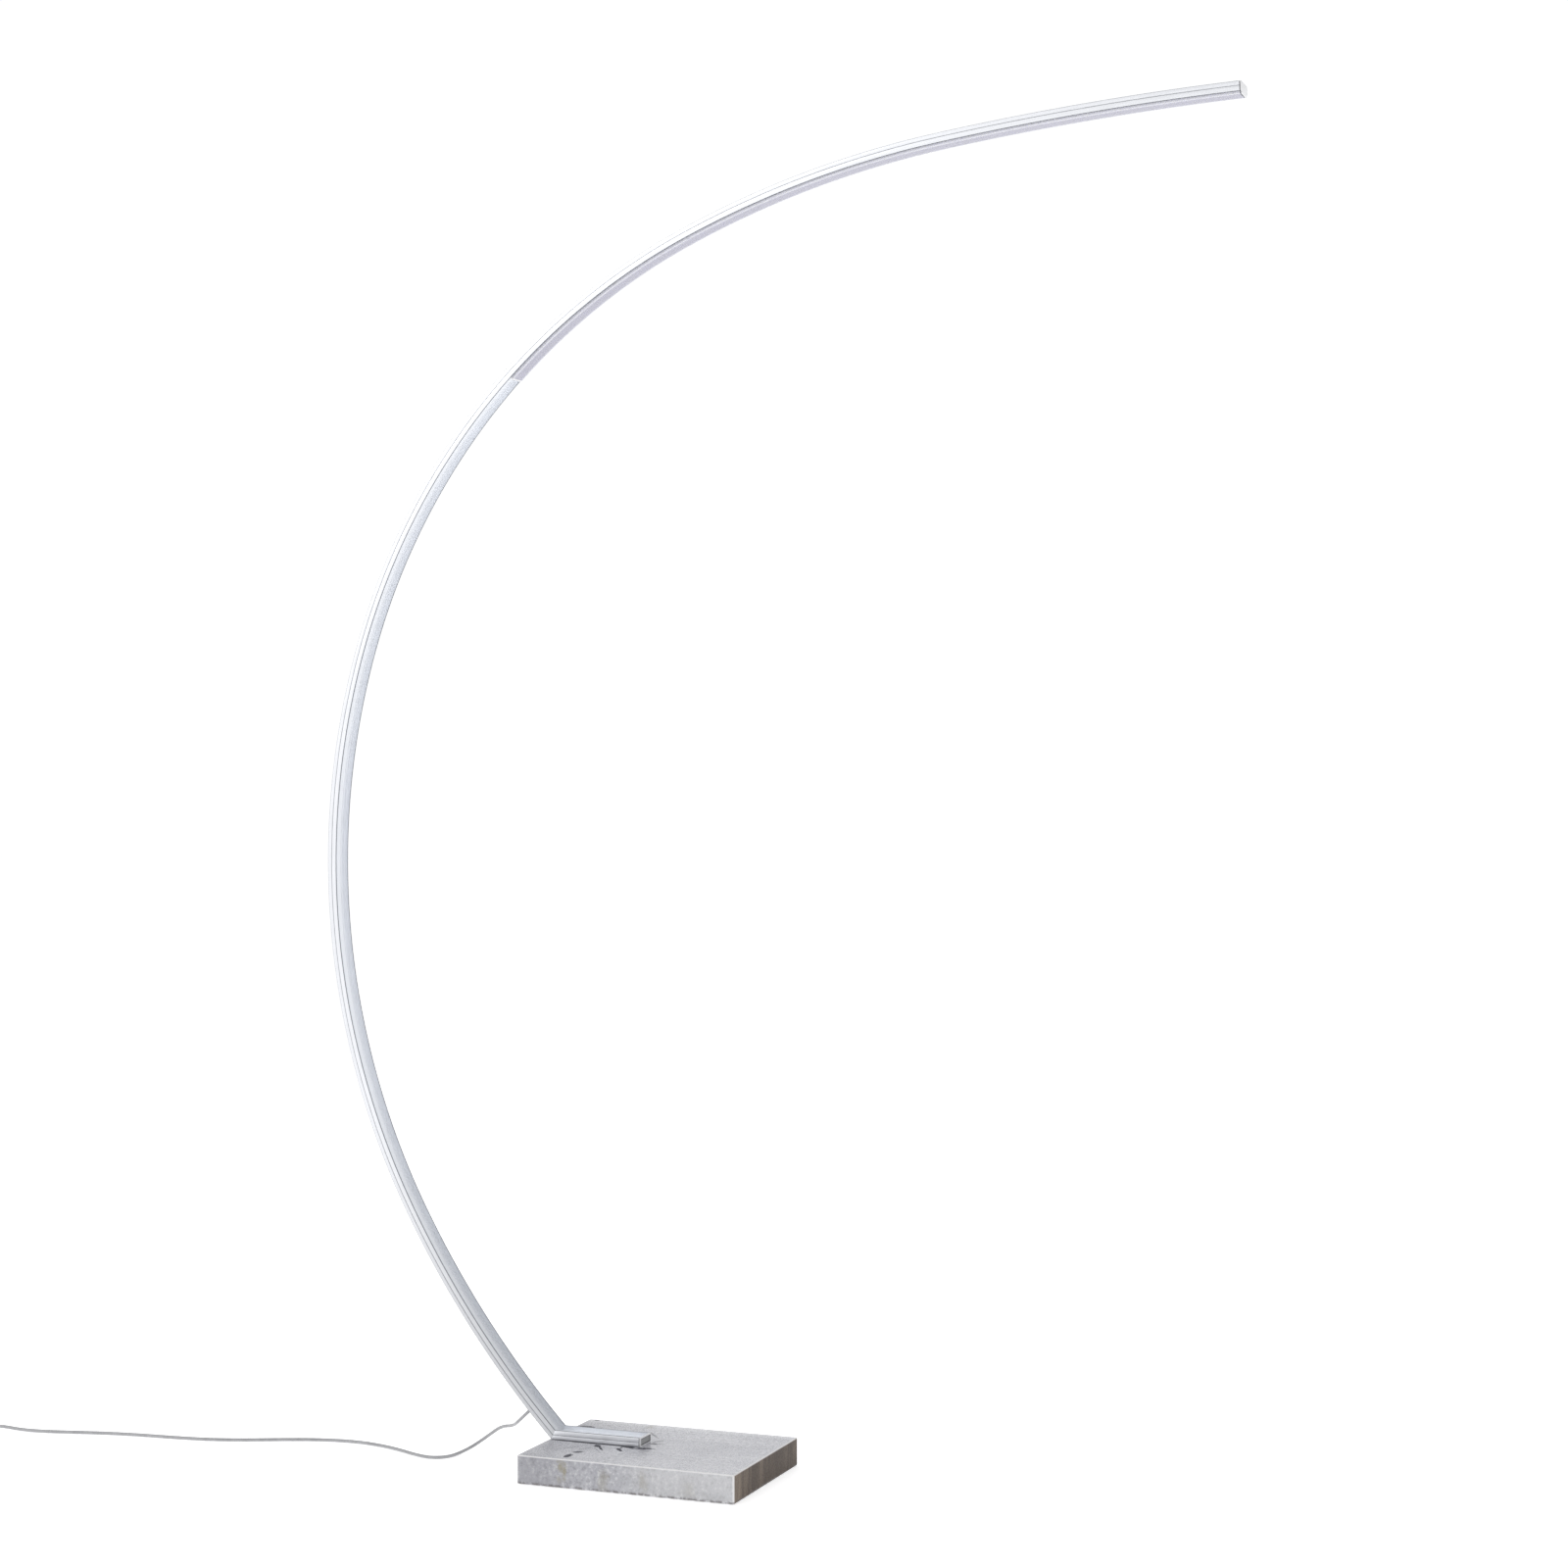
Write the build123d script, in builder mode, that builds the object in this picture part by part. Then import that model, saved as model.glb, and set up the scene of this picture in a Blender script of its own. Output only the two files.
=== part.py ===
"""Arc floor lamp: a bent light bar on a marble block, with its lead, foot switch and plug-in supply.

Millimetres, +Z up. The origin is the centre of the base's underside. The arc stands in the XZ plane,
rises towards -X and reaches over towards +X. Every section of the arc is drawn on a plane across it:
local X runs across the bar, local Y points away from the arc's centre, and 0 is the rim of the channel.
"""

import os
from collections import namedtuple
from math import cos, pi, radians, sin, tan

from build123d import *

# Base
BASE_LENGTH = 345.0
BASE_DEPTH = 255.0
MARBLE_THICKNESS = 42.0
MARBLE_CORNER_RADIUS = 2.0
MARBLE_EDGE_RADIUS = 1.6
PAD_THICKNESS = 1.0
PAD_INSET = 7.0
PAD_CORNER_RADIUS = 4.0

# Bar: one extruded section, used straight for the foot and bent for the arc
BAR_WIDTH = 38.0
BAR_THICKNESS = 14.0
BAR_EDGE_RADIUS = 0.8
SIDE_WALL = 2.0
OUTER_WALL = 1.6
WEB = 1.4
CHANNEL_DEPTH = 6.0
SIDE_GROOVE_WIDTH = 1.0
SIDE_GROOVE_DEPTH = 0.5
SIDE_GROOVE_FROM_RIM = 7.4

# Foot and arc
FOOT_LENGTH = 141.0
CORNER_X = -162.5
ARC_START_ANGLE = 134.6
ARC_BENDS = [  # from the foot to the tip: radius of the channel's rim, sweep in degrees
    (1460.0, 15.75),
    (1104.0, 45.6),
    (969.0, 49.8),
    (1468.0, 15.8),
    (4350.0, 5.8),
]
CAP_THICKNESS = 3.2
CAP_TONGUE = 10.0
CAP_PANEL_RIM = 2.2
CAP_PANEL_DEPTH = 1.2
CAP_EDGE_RADIUS = 0.7
FIT_GAP = 0.15  # what slides into the bar is this much smaller on each side

# Light
LIGHT_START = 1773.0  # along the channel's rim from the foot's corner
DIFFUSER_SIDE_GAP = 2.0  # from each side of the diffuser to the channel's wall, bridged by its foot
DIFFUSER_STANDS_PROUD = 3.2
DIFFUSER_WALL = 1.2
DIFFUSER_FOOT = 1.2
DIFFUSER_LIFT = 1.2  # from the channel's floor to the feet of the diffuser
START_CAP_LENGTH = 3.0
STRIP_WIDTH = 10.0
STRIP_THICKNESS = 0.4
STRIP_SETBACK = 6.0
CHIP_SIZE = 3.0
CHIP_HEIGHT = 0.8
CHIP_COUNT = 72

# Joint of the foot and the arc
BRACKET_THICKNESS = 4.0
BRACKET_FOOT_ARM = 58.0
BRACKET_ARC_ARM = 34.0
BRACKET_SCREW_ALONG = 20.0
BRACKET_SCREW_SPREAD = 20.0
SCREW_RADIUS = 1.5
SCREW_HEAD_RADIUS = 2.9
SCREW_PLAY = 0.05

# Fixing of the foot to the marble
BOLT_RADIUS = 3.0
BOLT_HEAD_RADIUS = 5.0
BOLT_HEAD_HEIGHT = 6.0
BOLT_SOCKET = 5.0
BOLT_SPACING = 40.0
BOLT_FIRST = 72.0  # from the corner to the first bolt
BOLT_HOLE_RADIUS = 3.5
COUNTERBORE_RADIUS = 11.0
COUNTERBORE_DEPTH = 20.0
WASHER_RADIUS = 9.0
WASHER_THICKNESS = 1.6
NUT_BAR_LENGTH = 56.0
NUT_BAR_WIDTH = 24.0

# Leads
GLAND_ALONG = 51.0
GLAND_HOLE_RADIUS = 4.5
GLAND_FLANGE_RADIUS = 6.5
GLAND_FLANGE = 1.5
GLAND_NOSE = 6.5
GLAND_NOSE_RADIUS = 3.2
GLAND_INSIDE = 1.0
WIRE_RADIUS = 0.9
WIRE_END_RADIUS = 1.2  # the sleeved end that turns through the bar's wall
WIRE_SPREAD = 4.4
WIRE_SLOT_LENGTH = 5.0
CORD_DIAMETER = 5.0
CORD_STRAIGHT = 23.0  # a lead leaves a gland or a strain relief straight for this far

# Foot switch
SWITCH_CENTRE = (-1155.0, -115.0)
SWITCH_HEADING = 184.0
SWITCH_LENGTH = 64.0
SWITCH_WIDTH = 30.0
SWITCH_HEIGHT = 20.0
SWITCH_SPLIT = 9.0
SWITCH_CORNER_RADIUS = 8.0
SWITCH_WALL = 1.8
SWITCH_TOP_RADIUS = 3.0
BUTTON_RADIUS = 10.0
BUTTON_PROUD = 3.2
BUTTON_PLAY = 0.35
BUTTON_FLANGE_PLAY = 0.6  # between the flange and the case's ceiling
BUTTON_FLANGE = 1.8
BUTTON_FLANGE_HEIGHT = 2.0
BUTTON_TRAVEL = 2.5
MODULE_LENGTH = 34.0
MODULE_WIDTH = 18.0
MODULE_HEIGHT = 6.0
SPRING_RADIUS = 4.5
SPRING_WIRE = 0.4
SPRING_TURNS = 4
CASE_SCREW_SPACING = 50.0
CASE_SCREW_RADIUS = 1.2
CASE_SCREW_HEAD_RADIUS = 2.4
CASE_BOSS_RADIUS = 3.4
RELIEF_LENGTH = 13.0
RELIEF_ROOT_RADIUS = 4.2
RELIEF_TIP_RADIUS = 3.1
CORD_HEIGHT_AT_SWITCH = 7.0

# Put-away lead and supply
COIL_CENTRE = (-1188.0, -48.0)
COIL_OUTER_RADIUS = 34.3
COIL_INNER_RADIUS = 23.7
COIL_HEIGHT = 10.2
TIE_WIDTH = 10.0
TIE_THICKNESS = 1.0
TIE_HEADING = 15.0
ADAPTER_CENTRE = (-1273.0, -45.0)
ADAPTER_HEADING = 90.0
ADAPTER_LENGTH = 64.0
ADAPTER_WIDTH = 40.0
ADAPTER_HEIGHT = 28.0
ADAPTER_FRONT_LENGTH = 14.0
ADAPTER_CORNER_RADIUS = 5.0
ADAPTER_WALL = 2.0
PIN_RADIUS = 2.0
PIN_LENGTH = 19.0
PIN_SPACING = 19.0
PIN_INSIDE = 4.0
ADAPTER_RELIEF_LENGTH = 20.0
BOARD_LENGTH = 40.0
BOARD_THICKNESS = 1.6
TRANSFORMER_SIZE = (18.0, 20.0, 13.0)

# Routes of the leads, as points of their centre line
LAMP_CORD_ROUTE = [
    (-250.0, 18.0, 49.0),
    (-280.0, 36.0, 42.5),
    (-306.0, 42.0, 24.0),
    (-325.0, 27.0, 9.0),
    (-337.0, 3.0, 2.6),
    (-341.0, -18.5, 2.5),
    (-354.0, -31.5, 2.5),
    (-371.5, -34.5, 2.5),
    (-398.0, -25.5, 2.5),
    (-430.0, -9.0, 2.5),
    (-473.0, 8.0, 2.5),
    (-525.0, 17.0, 2.5),
    (-585.0, 8.0, 2.5),
    (-640.0, -13.0, 2.5),
    (-694.0, -38.0, 2.5),
    (-750.0, -55.0, 2.5),
    (-808.0, -62.0, 2.5),
    (-866.0, -66.0, 2.5),
    (-924.0, -75.0, 2.5),
    (-980.0, -90.0, 2.5),
    (-1028.0, -101.5, 2.6),
    (-1062.0, -107.5, 4.0),
]
SWITCH_CORD_ROUTE = [
    (-1241.3, -104.4, 4.5),
    (-1244.4, -80.8, 2.6),
    (-1230.4, -61.5, 2.5),
    (-1218.0, -40.0, 2.5),
]
ADAPTER_CORD_ROUTE = [
    (-1217.0, -48.0, 7.9),
    (-1218.5, -22.0, 6.8),
    (-1216.5, 4.0, 4.4),
    (-1217.2, 30.4, 3.0),
    (-1233.4, 47.0, 6.0),
    (-1256.6, 47.0, 11.0),
    (-1273.0, 30.6, 14.0),
]

# What follows from the sizes above
BASE_TOP = PAD_THICKNESS + MARBLE_THICKNESS
RIM_Z = BASE_TOP + BAR_THICKNESS
CHANNEL_WIDTH = BAR_WIDTH - 2 * SIDE_WALL
DIFFUSER_WIDTH = CHANNEL_WIDTH - 2 * DIFFUSER_SIDE_GAP
CHAMBER_TOP = CHANNEL_DEPTH + WEB
CHAMBER_HEIGHT = BAR_THICKNESS - OUTER_WALL - CHAMBER_TOP
CHAMBER_MIDDLE = CHAMBER_TOP + CHAMBER_HEIGHT / 2
MITRE_ANGLE = ARC_START_ANGLE / 2
MITRE_STOCK = BAR_THICKNESS
MITRE_PLANE = Plane(
    origin=(CORNER_X, 0, RIM_Z),
    x_dir=(0, 1, 0),
    z_dir=(sin(radians(MITRE_ANGLE)), 0, -cos(radians(MITRE_ANGLE))),
)
ARC_LENGTH = sum(radius * radians(sweep) for radius, sweep in ARC_BENDS)
FOOT_END_X = CORNER_X + FOOT_LENGTH - CAP_THICKNESS
CORD_RADIUS = CORD_DIAMETER / 2
BOLT_X = [CORNER_X + BOLT_FIRST, CORNER_X + BOLT_FIRST + BOLT_SPACING]

Bend = namedtuple("Bend", "plane axis sweep")


def arc_point(distance):
    """Where the channel's rim is after a distance along it: x, z and heading in degrees."""
    x, z, heading = CORNER_X, RIM_Z, ARC_START_ANGLE
    for radius, sweep in ARC_BENDS:
        turn = min(distance / radians(radius), sweep)
        centre_x = x + radius * sin(radians(heading))
        centre_z = z - radius * cos(radians(heading))
        heading -= turn
        x = centre_x - radius * sin(radians(heading))
        z = centre_z + radius * cos(radians(heading))
        distance -= turn * radians(radius)
    return x, z, heading


def section_plane(x, z, heading, depth=0.0):
    """The plane across the bar at a point of the rim, its origin moved away from the arc's centre by depth."""
    return Plane(
        origin=(x - depth * sin(radians(heading)), 0, z + depth * cos(radians(heading))),
        x_dir=(0, 1, 0),
        z_dir=(cos(radians(heading)), 0, sin(radians(heading))),
    )


def arc_plane(distance, depth=0.0):
    """The section plane at a distance along the rim."""
    return section_plane(*arc_point(distance), depth)


def bends_between(start, end):
    """The bends, whole or in part, from one distance along the rim to another."""
    bends = []
    along = 0.0
    for radius, sweep in ARC_BENDS:
        length = radius * radians(sweep)
        first = max(start, along)
        last = min(end, along + length)
        if last > first:
            x, z, heading = arc_point(first)
            centre = (x + radius * sin(radians(heading)), 0, z - radius * cos(radians(heading)))
            bends.append(Bend(arc_plane(first), Axis(centre, (0, 1, 0)), (last - first) / radians(radius)))
        along += length
    return bends


def corner_radii(route):
    """The largest arc that each corner of a lead's route has room for."""
    points = [Vector(*point) for point in route]
    radii = []
    for before, corner, after in zip(points, points[1:], points[2:]):
        turn = (corner - before).get_angle(after - corner)
        shorter = min((corner - before).length, (after - corner).length)
        radii.append(0.45 * shorter / tan(radians(turn / 2)))
    return radii


def bar_section():
    """The extruded bar: an open channel towards the arc's centre and a closed chamber behind it."""
    with Locations((0, BAR_THICKNESS / 2)):
        RectangleRounded(BAR_WIDTH, BAR_THICKNESS, BAR_EDGE_RADIUS)
    with Locations((0, CHANNEL_DEPTH / 2)):
        Rectangle(CHANNEL_WIDTH, CHANNEL_DEPTH, mode=Mode.SUBTRACT)
    with Locations((0, CHAMBER_MIDDLE)):
        Rectangle(CHANNEL_WIDTH, CHAMBER_HEIGHT, mode=Mode.SUBTRACT)
    with Locations((-BAR_WIDTH / 2, SIDE_GROOVE_FROM_RIM), (BAR_WIDTH / 2, SIDE_GROOVE_FROM_RIM)):
        Rectangle(2 * SIDE_GROOVE_DEPTH, SIDE_GROOVE_WIDTH, mode=Mode.SUBTRACT)


def diffuser_section():
    """A hat: a proud opal face, two legs into the channel and a foot on each."""
    leg_end = CHANNEL_DEPTH - DIFFUSER_LIFT
    with Locations((0, (leg_end - DIFFUSER_STANDS_PROUD) / 2)):
        Rectangle(DIFFUSER_WIDTH, leg_end + DIFFUSER_STANDS_PROUD)
    with Locations((0, leg_end - DIFFUSER_FOOT / 2)):
        Rectangle(CHANNEL_WIDTH - 2 * FIT_GAP, DIFFUSER_FOOT)
    with Locations((0, (leg_end - DIFFUSER_STANDS_PROUD + DIFFUSER_WALL) / 2)):
        Rectangle(
            DIFFUSER_WIDTH - 2 * DIFFUSER_WALL,
            leg_end + DIFFUSER_STANDS_PROUD - DIFFUSER_WALL,
            mode=Mode.SUBTRACT,
        )


def tongue_section():
    """What slides into the bar's closed chamber."""
    with Locations((0, CHAMBER_MIDDLE)):
        Rectangle(CHANNEL_WIDTH - 2 * FIT_GAP, CHAMBER_HEIGHT - 2 * FIT_GAP)


def mitre_point(depth):
    """The point of the mitre at a depth below the foot's rim, in the XZ plane."""
    return (CORNER_X - depth / tan(radians(MITRE_ANGLE)), RIM_Z - depth)


os.makedirs("parts", exist_ok=True)


def write(piece, label):
    """Name a finished piece and write its STEP file."""
    piece.part.label = label
    export_step(piece.part, f"parts/{label}.step")


# ---------------------------------------------------------------- base

with BuildPart() as marble_base:
    with BuildSketch(Plane.XY.offset(PAD_THICKNESS)):
        RectangleRounded(BASE_LENGTH, BASE_DEPTH, MARBLE_CORNER_RADIUS)
    extrude(amount=MARBLE_THICKNESS)
    rims = marble_base.faces().filter_by(Axis.Z)
    fillet(rims.edges(), MARBLE_EDGE_RADIUS)
    for bolt_x in BOLT_X:
        with BuildSketch(Plane((bolt_x, 0, PAD_THICKNESS))):
            Circle(COUNTERBORE_RADIUS)
        extrude(amount=COUNTERBORE_DEPTH, mode=Mode.SUBTRACT)
        with BuildSketch(Plane((bolt_x, 0, PAD_THICKNESS))):
            Circle(BOLT_HOLE_RADIUS)
        extrude(amount=MARBLE_THICKNESS, mode=Mode.SUBTRACT)
write(marble_base, "marble_base")

with BuildPart() as base_pad:
    with BuildSketch():
        RectangleRounded(BASE_LENGTH - 2 * PAD_INSET, BASE_DEPTH - 2 * PAD_INSET, PAD_CORNER_RADIUS)
    extrude(amount=PAD_THICKNESS)
write(base_pad, "base_pad")

WASHER_TOP = PAD_THICKNESS + COUNTERBORE_DEPTH
HEAD_TOP = WASHER_TOP - WASHER_THICKNESS
NUT_BAR_BOTTOM = BASE_TOP + OUTER_WALL + FIT_GAP
NUT_BAR_HEIGHT = CHAMBER_HEIGHT - 2 * FIT_GAP

with BuildPart() as base_washers:
    for bolt_x in BOLT_X:
        with BuildSketch(Plane((bolt_x, 0, HEAD_TOP))):
            Circle(WASHER_RADIUS)
            Circle(BOLT_RADIUS + SCREW_PLAY, mode=Mode.SUBTRACT)
        extrude(amount=WASHER_THICKNESS)
write(base_washers, "base_washers")

with BuildPart() as base_bolts:
    for bolt_x in BOLT_X:
        with BuildSketch(Plane((bolt_x, 0, HEAD_TOP))):
            Circle(BOLT_HEAD_RADIUS)
        extrude(amount=-BOLT_HEAD_HEIGHT)
        with BuildSketch(Plane((bolt_x, 0, HEAD_TOP))):
            Circle(BOLT_RADIUS)
        extrude(amount=NUT_BAR_BOTTOM + NUT_BAR_HEIGHT - HEAD_TOP)
        with BuildSketch(Plane((bolt_x, 0, HEAD_TOP - BOLT_HEAD_HEIGHT))):
            RegularPolygon(BOLT_SOCKET / 2, 6, major_radius=False)
        extrude(amount=BOLT_HEAD_HEIGHT / 2, mode=Mode.SUBTRACT)
write(base_bolts, "base_bolts")

with BuildPart() as foot_nut_bar:
    with BuildSketch(Plane(((BOLT_X[0] + BOLT_X[1]) / 2, 0, NUT_BAR_BOTTOM))):
        Rectangle(NUT_BAR_LENGTH, NUT_BAR_WIDTH)
    extrude(amount=NUT_BAR_HEIGHT)
    for bolt_x in BOLT_X:
        with BuildSketch(Plane((bolt_x, 0, NUT_BAR_BOTTOM))):
            Circle(BOLT_RADIUS + SCREW_PLAY)
        extrude(amount=NUT_BAR_HEIGHT, mode=Mode.SUBTRACT)
write(foot_nut_bar, "foot_nut_bar")

# ---------------------------------------------------------------- foot, arc and their joint

FOOT_SCREW_PLANE = section_plane(CORNER_X + BRACKET_SCREW_ALONG, RIM_Z, 180, BAR_THICKNESS)
ARC_SCREW_PLANE = arc_plane(BRACKET_SCREW_ALONG, BAR_THICKNESS)


def screw_places(plane, play=0.0):
    """Two countersunk screws through the bar's outer wall, their heads flush with its face."""
    for side in (-BRACKET_SCREW_SPREAD / 2, BRACKET_SCREW_SPREAD / 2):
        place = Plane(plane.from_local_coords((side, 0, 0)), x_dir=plane.x_dir, z_dir=-plane.y_dir)
        with BuildSketch(place, mode=Mode.PRIVATE) as head:
            Circle(SCREW_HEAD_RADIUS + play)
        with BuildSketch(place.offset(OUTER_WALL), mode=Mode.PRIVATE) as neck:
            Circle(SCREW_RADIUS + play)
        yield head.sketch, neck.sketch


SCREW_DEPTH = OUTER_WALL + CHAMBER_HEIGHT - 2 * FIT_GAP

with BuildPart() as foot_profile:
    with BuildSketch(section_plane(FOOT_END_X, RIM_Z, 180)):
        bar_section()
    extrude(amount=FOOT_END_X - CORNER_X + MITRE_STOCK)
    split(bisect_by=MITRE_PLANE, keep=Keep.TOP)
    for bolt_x in BOLT_X:
        with BuildSketch(Plane((bolt_x, 0, BASE_TOP))):
            Circle(BOLT_HOLE_RADIUS)
        extrude(amount=OUTER_WALL, mode=Mode.SUBTRACT)
    for head, neck in screw_places(FOOT_SCREW_PLANE, SCREW_PLAY):
        loft([head, neck], mode=Mode.SUBTRACT)
write(foot_profile, "foot_profile")

with BuildPart() as arc_profile:
    with BuildSketch(arc_plane(0)):
        bar_section()
    extrude(amount=-MITRE_STOCK)
    with BuildLine(Plane.XZ) as arc_path:
        bend_start = Vector(CORNER_X, 0, RIM_Z)
        heading = ARC_START_ANGLE
        for radius, sweep_angle in ARC_BENDS:
            bend_curve = JernArc(
                start=(bend_start.X, bend_start.Z),
                tangent=(cos(radians(heading)), sin(radians(heading))),
                radius=radius,
                arc_size=-sweep_angle,
            )
            bend_start = bend_curve @ 1
            heading -= sweep_angle
    with BuildSketch(arc_plane(0)):
        bar_section()
    sweep(path=arc_path.line)
    split(bisect_by=MITRE_PLANE, keep=Keep.BOTTOM)
    for head, neck in screw_places(ARC_SCREW_PLANE, SCREW_PLAY):
        loft([head, neck], mode=Mode.SUBTRACT)
    gland_plane = arc_plane(GLAND_ALONG, BAR_THICKNESS)
    gland_axis = Plane(gland_plane.origin, x_dir=(0, 1, 0), z_dir=gland_plane.y_dir)
    with BuildSketch(gland_axis):
        Circle(GLAND_HOLE_RADIUS + SCREW_PLAY)
    extrude(amount=OUTER_WALL + 0.5, both=True, mode=Mode.SUBTRACT)
    slot_plane = arc_plane(LIGHT_START + STRIP_SETBACK + WIRE_SLOT_LENGTH / 2, CHANNEL_DEPTH)
    with BuildSketch(Plane(slot_plane.origin, x_dir=(0, 1, 0), z_dir=slot_plane.y_dir)):
        Rectangle(WIRE_SPREAD + 4 * WIRE_END_RADIUS, WIRE_SLOT_LENGTH)
    extrude(amount=WEB, mode=Mode.SUBTRACT)
write(arc_profile, "arc_profile")

with BuildPart() as corner_bracket:
    inner = CHAMBER_MIDDLE - BRACKET_THICKNESS / 2
    outer = CHAMBER_MIDDLE + BRACKET_THICKNESS / 2
    start = section_plane(CORNER_X, RIM_Z, ARC_START_ANGLE)
    arm_end = start.offset(BRACKET_ARC_ARM)
    arm_inner = arm_end.from_local_coords((0, inner, 0))
    arm_outer = arm_end.from_local_coords((0, outer, 0))
    with BuildSketch(Plane.XZ):
        with BuildLine():
            Polyline(
                (CORNER_X + BRACKET_FOOT_ARM, RIM_Z - inner),
                mitre_point(inner),
                (arm_inner.X, arm_inner.Z),
                (arm_outer.X, arm_outer.Z),
                mitre_point(outer),
                (CORNER_X + BRACKET_FOOT_ARM, RIM_Z - outer),
                close=True,
            )
        make_face()
    extrude(amount=CHANNEL_WIDTH / 2 - FIT_GAP, both=True)
    for plane in (FOOT_SCREW_PLANE, ARC_SCREW_PLANE):
        for side in (-BRACKET_SCREW_SPREAD / 2, BRACKET_SCREW_SPREAD / 2):
            with BuildSketch(Plane(plane.from_local_coords((side, 0, 0)), x_dir=plane.x_dir, z_dir=-plane.y_dir)):
                Circle(SCREW_RADIUS + SCREW_PLAY)
            extrude(amount=2 * BAR_THICKNESS, mode=Mode.SUBTRACT)
write(corner_bracket, "corner_bracket")

with BuildPart() as bracket_screws:
    for plane in (FOOT_SCREW_PLANE, ARC_SCREW_PLANE):
        for head, neck in screw_places(plane):
            loft([head, neck])
            extrude(neck, amount=SCREW_DEPTH - OUTER_WALL, dir=-plane.y_dir)
write(bracket_screws, "bracket_screws")


with BuildPart() as foot_end_cap:
    foot_end = section_plane(FOOT_END_X, RIM_Z, 180)
    with BuildSketch(foot_end):
        with Locations((0, BAR_THICKNESS / 2)):
            RectangleRounded(BAR_WIDTH, BAR_THICKNESS, BAR_EDGE_RADIUS)
    extrude(amount=-CAP_THICKNESS)
    fillet(foot_end_cap.faces().sort_by(Axis.X)[-1].edges(), CAP_EDGE_RADIUS)
    with BuildSketch(foot_end.offset(-CAP_THICKNESS)):
        with Locations((0, BAR_THICKNESS / 2)):
            Rectangle(BAR_WIDTH - 2 * CAP_PANEL_RIM, BAR_THICKNESS - 2 * CAP_PANEL_RIM)
    extrude(amount=CAP_PANEL_DEPTH, mode=Mode.SUBTRACT)
    with BuildSketch(foot_end):
        tongue_section()
    extrude(amount=CAP_TONGUE)
write(foot_end_cap, "foot_end_cap")

with BuildPart() as tip_end_cap:
    tip = arc_plane(ARC_LENGTH)
    with BuildSketch(tip):
        with Locations((0, BAR_THICKNESS / 2)):
            RectangleRounded(BAR_WIDTH, BAR_THICKNESS, BAR_EDGE_RADIUS)
        with Locations((0, (BAR_THICKNESS - DIFFUSER_STANDS_PROUD) / 2)):
            Rectangle(DIFFUSER_WIDTH, BAR_THICKNESS + DIFFUSER_STANDS_PROUD)
    extrude(amount=CAP_THICKNESS)
    fillet(tip_end_cap.faces().sort_by(Axis.X)[-1].edges(), CAP_EDGE_RADIUS)
    with BuildSketch(tip):
        tongue_section()
    extrude(amount=-CAP_TONGUE)
write(tip_end_cap, "tip_end_cap")

# ---------------------------------------------------------------- light

with BuildPart() as diffuser:
    for bend in bends_between(LIGHT_START + START_CAP_LENGTH, ARC_LENGTH):
        with BuildSketch(bend.plane):
            diffuser_section()
        revolve(axis=bend.axis, revolution_arc=bend.sweep)
write(diffuser, "diffuser")

with BuildPart() as diffuser_start_cap:
    start_cap_depth = CHANNEL_DEPTH + DIFFUSER_STANDS_PROUD - STRIP_THICKNESS
    for bend in bends_between(LIGHT_START, LIGHT_START + START_CAP_LENGTH):
        with BuildSketch(bend.plane):
            with Locations((0, start_cap_depth / 2 - DIFFUSER_STANDS_PROUD)):
                Rectangle(DIFFUSER_WIDTH, start_cap_depth)
        revolve(axis=bend.axis, revolution_arc=bend.sweep)
write(diffuser_start_cap, "diffuser_start_cap")

with BuildPart() as led_strip:
    for bend in bends_between(LIGHT_START + STRIP_SETBACK, ARC_LENGTH - STRIP_SETBACK):
        with BuildSketch(bend.plane):
            with Locations((0, CHANNEL_DEPTH - STRIP_THICKNESS / 2)):
                Rectangle(STRIP_WIDTH, STRIP_THICKNESS)
        revolve(axis=bend.axis, revolution_arc=bend.sweep)
write(led_strip, "led_strip")

with BuildPart() as led_chips:
    chip_pitch = (ARC_LENGTH - LIGHT_START - 2 * STRIP_SETBACK) / CHIP_COUNT
    chip_depth = CHANNEL_DEPTH - STRIP_THICKNESS - CHIP_HEIGHT / 2
    for number in range(CHIP_COUNT):
        chip_at = LIGHT_START + STRIP_SETBACK + (number + 0.5) * chip_pitch
        with Locations(arc_plane(chip_at, chip_depth).location):
            Box(CHIP_SIZE, CHIP_HEIGHT, CHIP_SIZE)
write(led_chips, "led_chips")

with BuildPart() as supply_wires:
    wires_start = GLAND_ALONG
    wires_end = LIGHT_START + STRIP_SETBACK + WIRE_SLOT_LENGTH / 2
    for bend in bends_between(wires_start, wires_end):
        with BuildSketch(bend.plane):
            with Locations((-WIRE_SPREAD / 2, CHAMBER_MIDDLE), (WIRE_SPREAD / 2, CHAMBER_MIDDLE)):
                Circle(WIRE_RADIUS)
        revolve(axis=bend.axis, revolution_arc=bend.sweep)
    for along, low_depth, high_depth in (
        (wires_start, CHAMBER_MIDDLE - WIRE_END_RADIUS, BAR_THICKNESS - OUTER_WALL - GLAND_INSIDE),
        (wires_end, CHANNEL_DEPTH, CHAMBER_MIDDLE + WIRE_END_RADIUS),
    ):
        wire_end = arc_plane(along, low_depth)
        with BuildSketch(Plane(wire_end.origin, x_dir=(0, 1, 0), z_dir=wire_end.y_dir)):
            with Locations((-WIRE_SPREAD / 2, 0), (WIRE_SPREAD / 2, 0)):
                Circle(WIRE_END_RADIUS)
        extrude(amount=high_depth - low_depth)
write(supply_wires, "supply_wires")

# ---------------------------------------------------------------- lead out of the arc

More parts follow.
